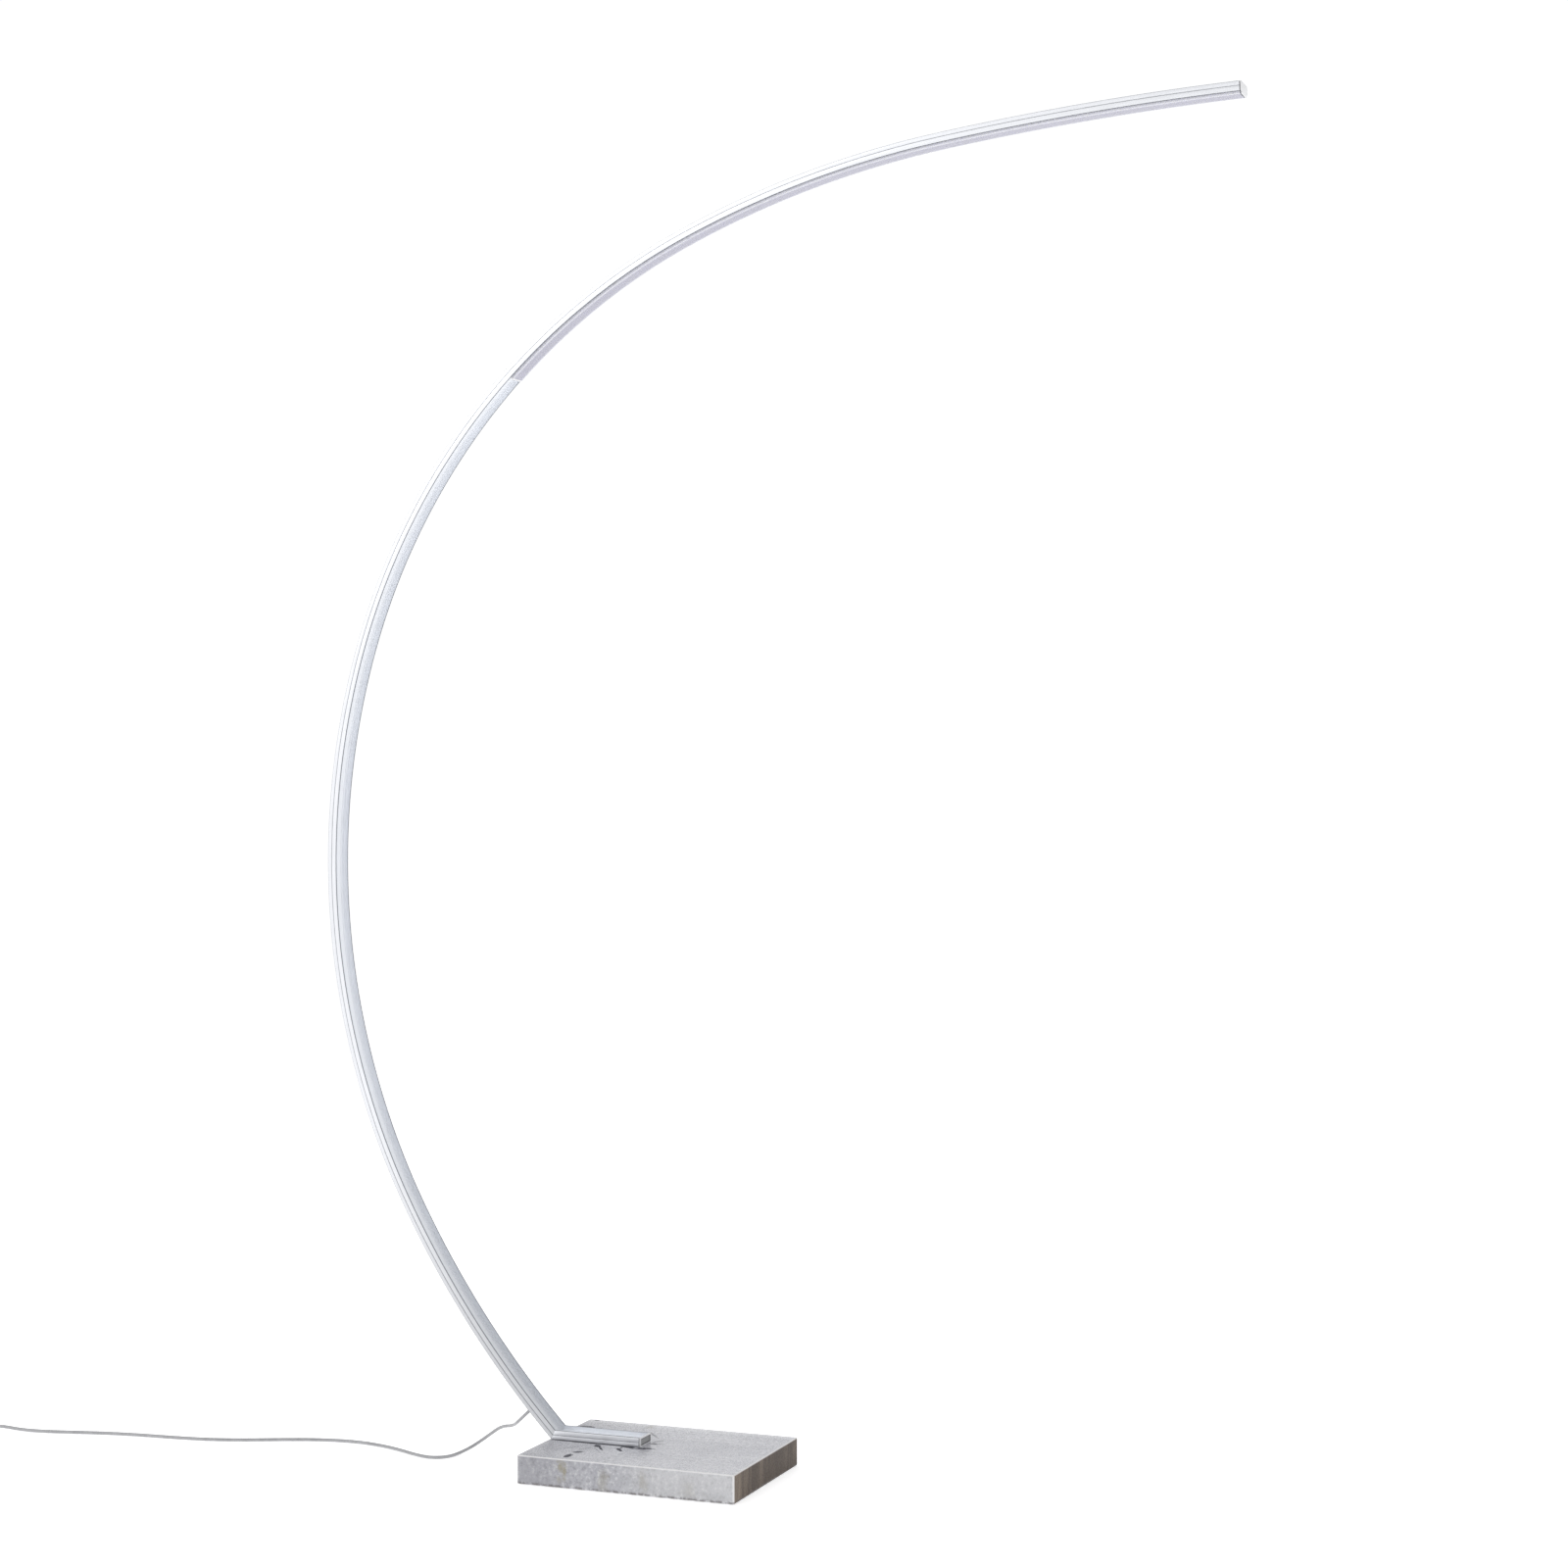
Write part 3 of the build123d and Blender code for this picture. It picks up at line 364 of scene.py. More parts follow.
@dataclass(frozen=True)
class Mark:
    """A stain, fleck or streak in the stone: an ellipsoid with a ragged edge."""

    centre: Point
    radii: Point
    turn: float = 0.0
    strength: float = 1.0


@dataclass(frozen=True)
class PolishedMarble:
    """Grey marble: lilac-grey clouds, fine crystal speckle, long soft streaks, dark flecks and brown stains, with
    painted highlights on the edges and the back, painted shade on the front face and the sawn end, and the foot's
    painted contact shadows among the flecks.
    """

    name: str
    half: Point = (0.1725, 0.1275, 0.0430)
    light: Colour = (0.60, 0.60, 0.635)
    dark: Colour = (0.46, 0.46, 0.50)
    # painted highlight on the eased edges
    eased: Colour = (0.84, 0.83, 0.83)
    fleck_colour: Colour = (0.022, 0.022, 0.036)
    stain_colour: Colour = (0.27, 0.25, 0.19)
    # the sawn end's colours: brown bands, painted far darker than the stone as the shade on this side
    end_dark: Colour = (0.070, 0.054, 0.043)
    end_brown: Colour = (0.200, 0.160, 0.125)
    fleck_depth: float = 0.004
    flecks: tuple[tuple[float, ...], ...] = (  # x, y, half length, half width, turn and strength of each
        (-0.0999, -0.1046, 0.0118, 0.0052, 1.54, 1.0), (-0.0955, -0.0772, 0.0070, 0.0055, 0.61, 0.9),
        (-0.0867, -0.0325, 0.0058, 0.0070, 0.37, 1.0), (-0.0755, -0.0442, 0.0160, 0.0019, -0.93, 1.0),
        (-0.0738, -0.0586, 0.0171, 0.0012, -0.89, 0.35), (-0.0455, -0.0430, 0.0118, 0.0027, -0.85, 1.0),
        # the second entry on this line and both on the next are painted contact shadows: in front of the foot bar's
        # end, below the foot's end cap, and along the foot bar's whole front edge
        (-0.0479, -0.0290, 0.0131, 0.0018, 1.72, 0.85), (-0.0390, -0.0240, 0.0135, 0.0046, -0.20, 0.95),
        (-0.0150, -0.0245, 0.0155, 0.0050, 0.33, 0.9), (-0.0930, -0.0200, 0.0740, 0.0026, 0.0, 0.9),
        (-0.0492, 0.0703, 0.0070, 0.0048, 0.55, 0.6), (-0.0347, 0.0609, 0.0195, 0.0020, -0.84, 0.6),
        (-0.0123, 0.0100, 0.0050, 0.0060, 0.80, 0.75), (-0.0129, 0.0264, 0.0080, 0.0030, 0.93, 0.45),
        (-0.0030, 0.0116, 0.0075, 0.0032, 0.58, 0.4), (-0.1552, 0.0778, 0.0130, 0.0054, 0.05, 0.85),
        (-0.1590, 0.1230, 0.0034, 0.0050, 0.36, 0.75), (-0.1211, -0.0585, 0.0170, 0.0030, 0.79, 0.3),
        (-0.0953, -0.0553, 0.0135, 0.0028, 0.94, 0.3),
    )
    stains: tuple[Mark, ...] = (
        Mark((-0.1010, -0.1275, 0.0330), (0.0080, 0.0100, 0.0110)),
        Mark((-0.0955, -0.1275, 0.0250), (0.0045, 0.0100, 0.0150)),
        Mark((-0.1040, -0.1275, 0.0120), (0.0050, 0.0100, 0.0080), 0.0, 0.5),
        Mark((-0.0320, -0.1275, 0.0160), (0.0110, 0.0100, 0.0230), 0.0, 0.45),
        Mark((0.0300, -0.1275, 0.0220), (0.0080, 0.0100, 0.0260), 0.0, 0.42),
        Mark((0.1020, -0.1275, 0.0160), (0.0140, 0.0100, 0.0200), 0.0, 0.25),
        Mark((-0.0616, 0.1090, 0.0430), (0.0080, 0.0120, 0.0060), 0.0, 0.55),
    )

    def _mask(self, board: NodeBoard, mark: Mark, ragged: Socket, softest: float) -> Socket:
        """1 inside a mark and 0 outside.

        The point less the mark's centre, turned and divided by its radii, has a length r.
        The mask falls from 1 to 0 as r plus a little noise goes from softest to 1.2.

        Args:
            board: the material's tree.
            mark: the mark.
            ragged: the noise that tears its edge.
            softest: where its edge starts to fade.

        Returns:
            The mask's output.
        """
        mapping = board.node("ShaderNodeMapping", vector_type="TEXTURE")
        board.join(board.node("ShaderNodeTexCoord").outputs["Object"], mapping.inputs["Vector"])
        mapping.inputs["Location"].default_value = mark.centre
        mapping.inputs["Rotation"].default_value = (0.0, 0.0, mark.turn)
        mapping.inputs["Scale"].default_value = mark.radii
        length = board.node("ShaderNodeVectorMath", operation="LENGTH")
        board.join(mapping.outputs[0], length.inputs[0])
        return board.ease(board.sums("ADD", length.outputs["Value"], ragged), softest, 1.20, mark.strength, 0.0)

    def _gathered(self, board: NodeBoard, marks: tuple[Mark, ...], ragged: Socket, softest: float) -> Socket:
        """The largest of several marks' masks.

        Args:
            board: the material's tree.
            marks: the marks.
            ragged: the noise that tears their edges.
            softest: where their edges start to fade.

        Returns:
            The mask's output.
        """
        masks = [self._mask(board, mark, ragged, softest) for mark in marks]
        whole = masks[0]
        for mask in masks[1:]:
            whole = board.sums("MAXIMUM", whole, mask)
        return whole

    def _flecks(self) -> tuple[Mark, ...]:
        """The dark flecks as marks in the top face; three of them are the painted contact shadows of the foot bar and
        its end cap.

        Returns:
            The marks.
        """
        marks = []
        for x, y, long, wide, turn, strength in self.flecks:
            marks.append(Mark((x, y, self.half[2]), (long, wide, self.fleck_depth), turn, strength))
        return tuple(marks)

    def _speckle(self, board: NodeBoard, crystals: Socket, grit: Socket) -> list[tuple[Socket, Colour]]:
        """Layers of fine speckle: grey crystals, pale grit and dark grit.

        Args:
            board: the material's tree.
            crystals: the fine noise.
            grit: the coarser noise.

        Returns:
            Each layer's mask and colour.
        """
        return [
            (board.ease(crystals, 0.35, 0.62, 0.24, 0.0), (0.28, 0.28, 0.30)),
            (board.ease(grit, 0.53, 0.64, 0.0, 0.50), (0.82, 0.82, 0.82)),
            (board.ease(grit, 0.37, 0.48, 0.50, 0.0), (0.25, 0.25, 0.26)),
        ]

    def _drift(self, board: NodeBoard, x: Socket, y: Socket) -> list[tuple[Socket, Colour]]:
        """Layers that change slowly: the left part darker; the front face darker as painted shade, less so to the
        right; the back paler as a painted highlight.

        Args:
            board: the material's tree.
            x: distance along the block.
            y: distance across it.

        Returns:
            Each layer's mask and colour.
        """
        front = board.ease(y, 0.0010 - self.half[1], 0.0040 - self.half[1], 1.0, 0.0)
        return [
            (board.ease(x, -0.175, -0.02, 0.42, 0.0), (0.27, 0.265, 0.29)),
            # the front face's painted shade: paler to the right here, then darker over the whole face
            (board.sums("MULTIPLY", front, board.ease(x, -0.04, 0.06, 0.0, 0.36)), (0.76, 0.76, 0.75)),
            (board.sums("MULTIPLY", front, 0.21), (0.0, 0.0, 0.0)),
            # painted highlight towards the back edge
            (board.ease(y, 0.100, 0.127, 0.0, 0.55), (0.80, 0.80, 0.82)),
        ]

    def material(self) -> bpy.types.Material:
        """Clouds, then one layer over another: veins, speckle, drift with painted shade and highlight, stains, the sawn
        end with its painted shade, painted edge highlights, dark broken marks along the bottom, and flecks with painted
        contact shadows among them.

        Returns:
            The material.
        """
        board = NodeBoard(self.name)
        here = board.place()
        x, y, z = board.axes(here)
        clouds = board.noise(board.place((1.0, 1.6, 1.3)), 7.5, 6.0, 0.6, 0.8)
        streaks = board.noise(board.place((2.2, 17.0, 17.0), turn=(0.0, 0.0, 0.06)), 2.4, 5.0, 0.62, 0.5)
        thin = board.sums("ABSOLUTE", board.sums("SUBTRACT", streaks, 0.5))
        crystals = board.noise(here, 420.0, 3.0, 0.7)
        grit = board.noise(here, 140.0, 4.0, 0.7)
        torn = board.sums("ADD", board.noise(here, 330.0, 4.0, 0.75), board.noise(here, 90.0, 3.0, 0.7, 1.5))
        soft = board.centred(board.noise(here, 120.0, 4.0, 0.7), 0.5, 2.6)
        top_face = board.ease(z, 0.0405, 0.0428)
        veins = board.sums("MULTIPLY", board.ease(thin, 0.0, 0.030, 0.20, 0.0), top_face)
        stained = board.sums("MULTIPLY", self._gathered(board, self.stains, soft, 0.05), 0.9)
        sawn, end_tone_and_shade = self._sawn_end(board, x, y)
        low, broken = board.ease(z, 0.0020, 0.0062, 0.95, 0.0), board.ease(grit, 0.44, 0.58, 1.0, 0.0)
        pits = self._gathered(board, self._flecks(), board.centred(torn, 1.0, 1.7), 0.80)
        tone = board.mix(board.ease(clouds, 0.32, 0.68), self.dark, self.light)
        for mask, colour in [
            (veins, (0.30, 0.30, 0.35)),
            *self._speckle(board, crystals, grit),
            *self._drift(board, x, y),
            (stained, self.stain_colour),
            # the sawn end: brown bands under painted shade
            (sawn, end_tone_and_shade),
            # painted highlight on the eased edges
            (self._eased_edges(board, (x, y, z)), self.eased),
            (board.sums("MULTIPLY", low, broken), (0.14, 0.13, 0.13)),
            (pits, self.fleck_colour),
        ]:
            tone = board.mix(mask, tone, colour)
        board.set(Base_Color=tone, Roughness=board.ease(crystals, 0.3, 0.7, 0.34, 0.22))
        board.set(Specular_IOR_Level=board.ease(board.sums("MAXIMUM", pits, sawn), 0.0, 1.0, 0.5, 0.04))
        board.set(Subsurface_Weight=0.04, Subsurface_Radius=(0.004, 0.004, 0.004), Subsurface_Scale=1.0)
        board.bump(board.blended(crystals, grit, 0.5), 0.00025, 0.22)
        return board.material

    def _sawn_end(self, board: NodeBoard, x: Socket, y: Socket) -> tuple[Socket, Socket]:
        """Where the sawn end face at +X lies, and its tone: brown bands along Y, paler by the front corner, all painted
        far darker as the shade on this side.

        Args:
            board: the material's tree.
            x: distance along the block.
            y: distance across it.

        Returns:
            The end's mask and its colour.
        """
        near_end = board.ease(x, self.half[0] - 0.0016, self.half[0] - 0.0004)
        bands = board.noise(board.place((3.0, 30.0, 3.0)), 1.3, 6.0, 0.68, 1.2)
        corner = board.ease(y, -self.half[1], 0.050 - self.half[1], 0.45, 0.0)
        brown = board.sums("ADD", corner, board.ease(bands, 0.42, 0.70, 0.0, 0.75))
        brown.node.use_clamp = True
        return near_end, board.mix(brown, self.end_dark, self.end_brown)

    def _eased_edges(self, board: NodeBoard, place: tuple[Socket, Socket, Socket]) -> Socket:
        """The mask of a painted highlight, 1 along the block's eased edges: where two of the three distances to its
        faces are small.

        Args:
            board: the material's tree.
            place: the point's x, y and z.

        Returns:
            The mask's output.
        """
        near = []
        for value, half, reach in zip(place, self.half, (0.0032, 0.0032, 0.0022)):
            near.append(board.ease(board.sums("ABSOLUTE", value), half - reach, half - 0.25 * reach))
        pairs = [board.sums("MULTIPLY", near[one], near[other]) for one, other in ((0, 1), (1, 2), (0, 2))]
        whole = board.sums("MAXIMUM", pairs[0], board.sums("MAXIMUM", pairs[1], pairs[2]))
        return board.sums("MULTIPLY", whole, 0.8)


@dataclass(frozen=True)
class LeadSheath:
    """A lead's PVC sheath: mid grey and glossy, with faint scuffs."""

    name: str
    colour: Colour = (0.31, 0.31, 0.32)

    def material(self) -> bpy.types.Material:
        """Scuffs are patches of noise, paler and rougher; the skin is a faint fine bump.

        Returns:
            The material.
        """
        board = NodeBoard(self.name)
        scuff = board.noise(board.place(), 60.0, 4.0, 0.6)
        fine = board.noise(board.place(), 900.0, 2.0)
        board.set(Base_Color=board.mix(board.ease(scuff, 0.3, 0.7), self.colour, toned(self.colour, 1.18)))
        board.set(Roughness=board.ease(scuff, 0.3, 0.7, 0.22, 0.36))
        board.set(Coat_Weight=0.5, Coat_Roughness=0.15)
        board.bump(fine, 0.00003, 0.3)
        return board.material


@dataclass(frozen=True)
class PlatedSteel:
    """Zinc or nickel plate over steel or brass."""

    name: str
    colour: Colour = (0.66, 0.66, 0.67)
    roughness: float = 0.30

    def material(self) -> bpy.types.Material:
        """Spangle is coarse noise in tone; brushing is fine noise in roughness.

        Returns:
            The material.
        """
        board = NodeBoard(self.name)
        spangle = board.noise(board.place(), 260.0, 4.0, 0.65)
        brush = board.noise(board.place((1.0, 1.0, 9.0)), 700.0, 3.0)
        tone = board.mix(board.ease(spangle, 0.3, 0.7), toned(self.colour, 0.72), self.colour)
        board.set(Base_Color=tone, Metallic=1.0)
        board.set(Roughness=board.ease(brush, 0.25, 0.75, self.roughness - 0.07, self.roughness + 0.12))
        board.bump(brush, 0.00002, 0.35)
        return board.material


@dataclass(frozen=True)
class FoamSheet:
    """Closed-cell foam or hook-and-loop: matt, with open pores or loops."""

    name: str
    colour: Colour = (0.045, 0.045, 0.047)
    cells: float = 900.0

    def material(self) -> bpy.types.Material:
        """Cells are the distance to the nearest scattered point.

        Returns:
            The material.
        """
        board = NodeBoard(self.name)
        cell = board.node("ShaderNodeTexVoronoi")
        board.join(board.place(), cell.inputs["Vector"])
        cell.inputs["Scale"].default_value = self.cells
        depth = board.ease(cell.outputs["Distance"], 0.1, 0.6)
        board.set(Base_Color=board.mix(depth, self.colour, toned(self.colour, 1.9)), Roughness=0.93, Sheen_Weight=0.25)
        board.bump(depth, 0.0003, 0.6)
        return board.material


@dataclass(frozen=True)
class StudioSurface:
    """The plain pale floor."""

    name: str
    colour: Colour = (0.93, 0.93, 0.935)
    glow: float = 0.48

    def material(self) -> bpy.types.Material:
        """Matt paper with the faintest tone change.

        Returns:
            The material.
        """
        board = NodeBoard(self.name)
        drift = board.noise(board.place(), 0.8, 2.0)
        board.set(Base_Color=board.mix(board.ease(drift, 0.3, 0.7), self.colour, toned(self.colour, 1.01)))
        board.set(Roughness=0.9, Specular_IOR_Level=0.2)
        board.set(Emission_Color=(1.0, 1.0, 1.0), Emission_Strength=self.glow)
        return board.material


class Finish(Enum):
    """Every finish on the lamp."""

    BAR = AnodisedAluminium("satin silver bar")
    # a paler, less metallic copy of the bar's aluminium: painted light in the channel, with painted shade towards the
    # foot
    CHANNEL = AnodisedAluminium("silver channel painted light", (0.88, 0.90, 0.94), 0.42, 0.60, 0.86)
    # the channel's rims painted dark: painted shade
    RIM = AnodisedAluminium("shaded rim", (0.19, 0.20, 0.22), 0.45, 0.60, 0.75)
    # painted shade in the side grooves and along the outer edges
    EDGE = AnodisedAluminium("bar edge painted shade", (0.42, 0.43, 0.45), 0.45, 0.70)
    # painted shade in the gaps of the end caps' seat rings and on the foot cap's recess wall
    JOINT = Moulded("painted gap shade", (0.10, 0.10, 0.105), 0.6)
    CAP = Moulded("white end cap", (0.80, 0.80, 0.81), 0.34, coat=0.15)
    CAP_PANEL = Moulded("grey cap panel", (0.36, 0.36, 0.36), 0.55)
    OPAL = OpalAcrylic("opal cover")
    MARBLE = PolishedMarble("grey marble")
    PAD = FoamSheet("foam sheet")
    STEEL = PlatedSteel("zinc plated steel")
    NICKEL = PlatedSteel("nickel plated pin", (0.74, 0.70, 0.64), 0.22)
    GROMMET = Moulded("dark grommet", (0.05, 0.05, 0.055), 0.6)
    SHEATH = LeadSheath("lead sheath")
    WIRE = Moulded("wire sheath", (0.70, 0.70, 0.68), 0.4)
    STRIP = Moulded("light strip tape", (0.80, 0.80, 0.77), 0.35)
    PHOSPHOR = Moulded("light source face", (0.80, 0.62, 0.16), 0.3, grains=4000.0)
    SWITCH = Moulded("switch case", (0.58, 0.58, 0.575), 0.48)
    BUTTON = Moulded("switch button", (0.50, 0.50, 0.505), 0.25, 0.00002, coat=0.5)
    MODULE = Moulded("black moulding", (0.03, 0.03, 0.033), 0.5)
    SUPPLY = Moulded("supply case", (0.56, 0.56, 0.555), 0.5)
    BOARD = Moulded("circuit board", (0.03, 0.16, 0.07), 0.3, grains=700.0)
    TIE = FoamSheet("hook and loop band", (0.03, 0.03, 0.032), 1300.0)
    STUDIO = StudioSurface("studio paper")

    def get(self) -> bpy.types.Material:
        """The finish's material, made on first use."""
        return bpy.data.materials.get(self.value.name) or self.value.material()


# ------------------------------------------------------------------ meshes


def linked(name: str, data: bpy.types.ID) -> bpy.types.Object:
    """A new object in the scene, at the origin, that holds the data.

    Args:
        name: the object's name.
        data: its mesh, curve, lamp or camera.

    Returns:
        The object.
    """
    obj = bpy.data.objects.new(name, data)
    bpy.context.scene.collection.objects.link(obj)
    return obj


class Ends(Enum):
    """What happens at the two ends of a loft."""

    FILLED = "filled"
    JOINED = "joined"


@dataclass
class Piece:
    """One finished piece: which body it rides on, its finish slot in the record and the nodes it stands for."""

    obj: bpy.types.Object
    finish: Finish
    slot: str
    stands_for: tuple[str, ...] = ()
    body: str = "lamp"
    zones: tuple[tuple[Finish, ...], Array] | None = None

    def _dress_zones(self) -> None:
        """Give the first faces of the mesh their zones' finishes; zone 0 is the piece's own finish."""
        finishes, zone = self.zones
        mesh = self.obj.data
        for finish in finishes:
            mesh.materials.append(finish.get())
        index = np.zeros(len(mesh.polygons), np.int32)
        index[: len(zone)] = zone
        mesh.polygons.foreach_set("material_index", index)

    def settle(self) -> bpy.types.Object:
        """Dress the piece and body, and report it.

        Returns:
            The piece's object.
        """
        self.obj.data.materials.clear()
        self.obj.data.materials.append(self.finish.get())
        if self.zones:
            self._dress_zones()
        if self.stands_for:
            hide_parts(*self.stands_for)
        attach(self.obj, self.body)
        LOG.info("%s: %s, for %s", self.obj.name, self.finish.name.lower(), ", ".join(self.stands_for) or "nothing")
        return self.obj


def ring_quads(rings: int, loops: tuple[int, ...], joined: bool) -> Array:
    """Quads between rings of points, where a ring may hold several closed loops.

    Quad (i, j) joins points j and j + 1 of a loop in ring i to those in ring i + 1, with j taken round the loop.

    Args:
        rings: how many rings there are.
        loops: how many points each loop of a ring has.
        joined: whether the last ring is joined to the first.

    Returns:
        An array of four indices a row.
    """
    total = sum(loops)
    i = np.arange(rings if joined else rings - 1)[:, None]
    quads = []
    for start, size in zip(np.cumsum((0, *loops)), loops):
        j = np.arange(size)[None, :]
        beside = (j + 1) % size
        here, after = i * total + start, (i + 1) % rings * total + start
        quads.append(np.stack([here + j, here + beside, after + beside, after + j], -1).reshape(-1, 4))
    return np.concatenate(quads)


def skin(
    name: str,
    rings: Array,
    loops: tuple[int, ...] = (),
    ends: Ends = Ends.FILLED,
    along: Array | None = None,
    around: Array | None = None,
    sharp: float = 32.0,
) -> bpy.types.Object:
    """A closed mesh carried through rings of points.

    Args:
        name: the object's name.
        rings: points as (ring, point, 3), in metres.
        loops: how many points each loop of a ring has, when it holds more than one.
        ends: whether the end rings are filled or joined to each other.
        along: how far along the piece each ring is, for its own map.
        around: how far round the section each point is, for its own map.
        sharp: edges over this angle, in degrees, stay sharp.

    Returns:
        The object, linked to the scene.
    """
    count, size = rings.shape[:2]
    mesh = bpy.data.meshes.new(name)
    quads = ring_quads(count, loops or (size,), ends is Ends.JOINED)
    mesh.from_pydata(rings.reshape(-1, 3).tolist(), [], quads.tolist())
    made = bmesh.new()
    made.from_mesh(mesh)
    if ends is Ends.FILLED:
        rim = [(edge, [vertex.index for vertex in edge.verts]) for edge in made.edges if edge.is_boundary]
        first = [edge for edge, at in rim if max(at) < size]
        last = [edge for edge, at in rim if min(at) >= (count - 1) * size]
        for edges in (first, last):
            bmesh.ops.triangle_fill(made, use_beauty=True, edges=edges)
    bmesh.ops.recalc_face_normals(made, faces=made.faces)
    made.to_mesh(mesh)
    made.free()
    if along is not None and around is not None:
        corner = np.empty(len(mesh.loops), np.int32)
        mesh.loops.foreach_get("vertex_index", corner)
        layer = mesh.uv_layers.new(name="own")
        layer.data.foreach_set("uv", np.stack([along[corner // size], around[corner % size]], -1).ravel())
    mesh.shade_smooth()
    mesh.set_sharp_from_angle(angle=radians(sharp))
    return linked(name, mesh)


def joined(name: str, parts: list[bpy.types.Object]) -> bpy.types.Object:
    """Several meshes as one object, with their material slots.

    Args:
        name: the new object's name.
        parts: objects at the origin, which are used up.

    Returns:
        The joined object.
    """
    with bpy.context.temp_override(active_object=parts[0], selected_editable_objects=parts, object=parts[0]):
        bpy.ops.object.join()
    parts[0].name = name
    return parts[0]


def rounded_outline(corners: Outline, steps: int = 4) -> Array:
    """A closed outline with rounded corners.

    Each corner p with radius r becomes a quadratic blend from the point r before it to the point r after it:
    q(t) = (1 - t)^2 a + 2 t (1 - t) p + t^2 b. A corner of radius 0 stays one point.

    Args:
        corners: x, y and radius of each corner, in metres.
        steps: points on a rounded corner, less one.

    Returns:
        Points, one row each.
    """
    places = np.array([corner[:2] for corner in corners])
    radii = [corner[2] for corner in corners]
    t = np.linspace(0.0, 1.0, steps + 1)[:, None]
    rows = []
    for before, here, after, radius in zip(np.roll(places, 1, 0), places, np.roll(places, -1, 0), radii):
        if radius == 0.0:
            rows.append(here[None])
            continue
        a = here + (before - here) / np.linalg.norm(before - here) * radius
        b = here + (after - here) / np.linalg.norm(after - here) * radius
        rows.append((1 - t) ** 2 * a + 2 * t * (1 - t) * here + t**2 * b)
    return np.concatenate(rows)


def round_box_loop(half_x: float, half_y: float, radius: float, steps: int = 8) -> Array:
    """A rounded rectangle about 0, with steps points on each corner's quarter circle.

    Args:
        half_x: half its length.
        half_y: half its width.
        radius: its corners' radius.
        steps: points on each corner.

    Returns:
        Points, one row each.
    """
    quarter = np.linspace(0.0, pi / 2, steps)
    angles = (np.arange(4)[:, None] * pi / 2 + quarter[None, :]).ravel()
    signs = np.repeat(np.array([[1, 1], [-1, 1], [-1, -1], [1, -1]]), steps, 0)
    centres = signs * np.array([half_x - radius, half_y - radius])
    return centres + radius * np.stack([np.cos(angles), np.sin(angles)], -1)


def circle_loop(radius: float, steps: int = 8) -> Array:
    """A circle about 0 with 4 x steps points, half a step on, to pair with a rounded rectangle's."""
    angles = (np.arange(4 * steps) + 0.5) / (4 * steps) * 2 * pi
    return radius * np.stack([np.cos(angles), np.sin(angles)], -1)


def stacked(loops: list[Array], heights: list[float], seat: Matrix) -> Array:
    """Rings of a loft: flat loops at heights above a seat.

    Args:
        loops: flat loops of equal length.
        heights: how far above the seat each lies.
        seat: the seat's place; its Z axis is the way up.

    Returns:
        Points as (ring, point, 3).
    """
    flat = np.array(loops)
    up = np.broadcast_to(np.array(heights)[:, None, None], (*flat.shape[:2], 1))
    turn = np.array(seat.to_3x3())
    return np.concatenate([flat, up], -1) @ turn.T + np.array(seat.translation)


def turned(name: str, profile: list[tuple[float, float]], seat: Matrix, steps: int = 8) -> bpy.types.Object:
    """A turned piece, closed at both ends: circles of given radii at given heights above a seat.

    Args:
        name: the object's name.
        profile: radius and height of each circle, in metres.
        seat: where it starts and its axis, as the seat's Z.
        steps: a quarter of the points round it.

    Returns:
        The object.
    """
    loops = [circle_loop(radius, steps) for radius, _ in profile]
    return skin(name, stacked(loops, [height for _, height in profile], seat), sharp=38.0)


def seat_at(origin: Point, x_axis: Point, z_axis: Point) -> Matrix:
    """A place with its own axes, from its origin, its X axis and its Z axis.

    Args:
        origin: its origin.
        x_axis: which way its X axis points.
        z_axis: which way its Z axis points.

    Returns:
        The place.
    """
    z = Vector(z_axis).normalized()
    x = Vector(x_axis).normalized()
    y = z.cross(x)
    return Matrix.Translation(origin) @ Matrix((x, y, z)).transposed().to_4x4()


# ------------------------------------------------------------------ the bar


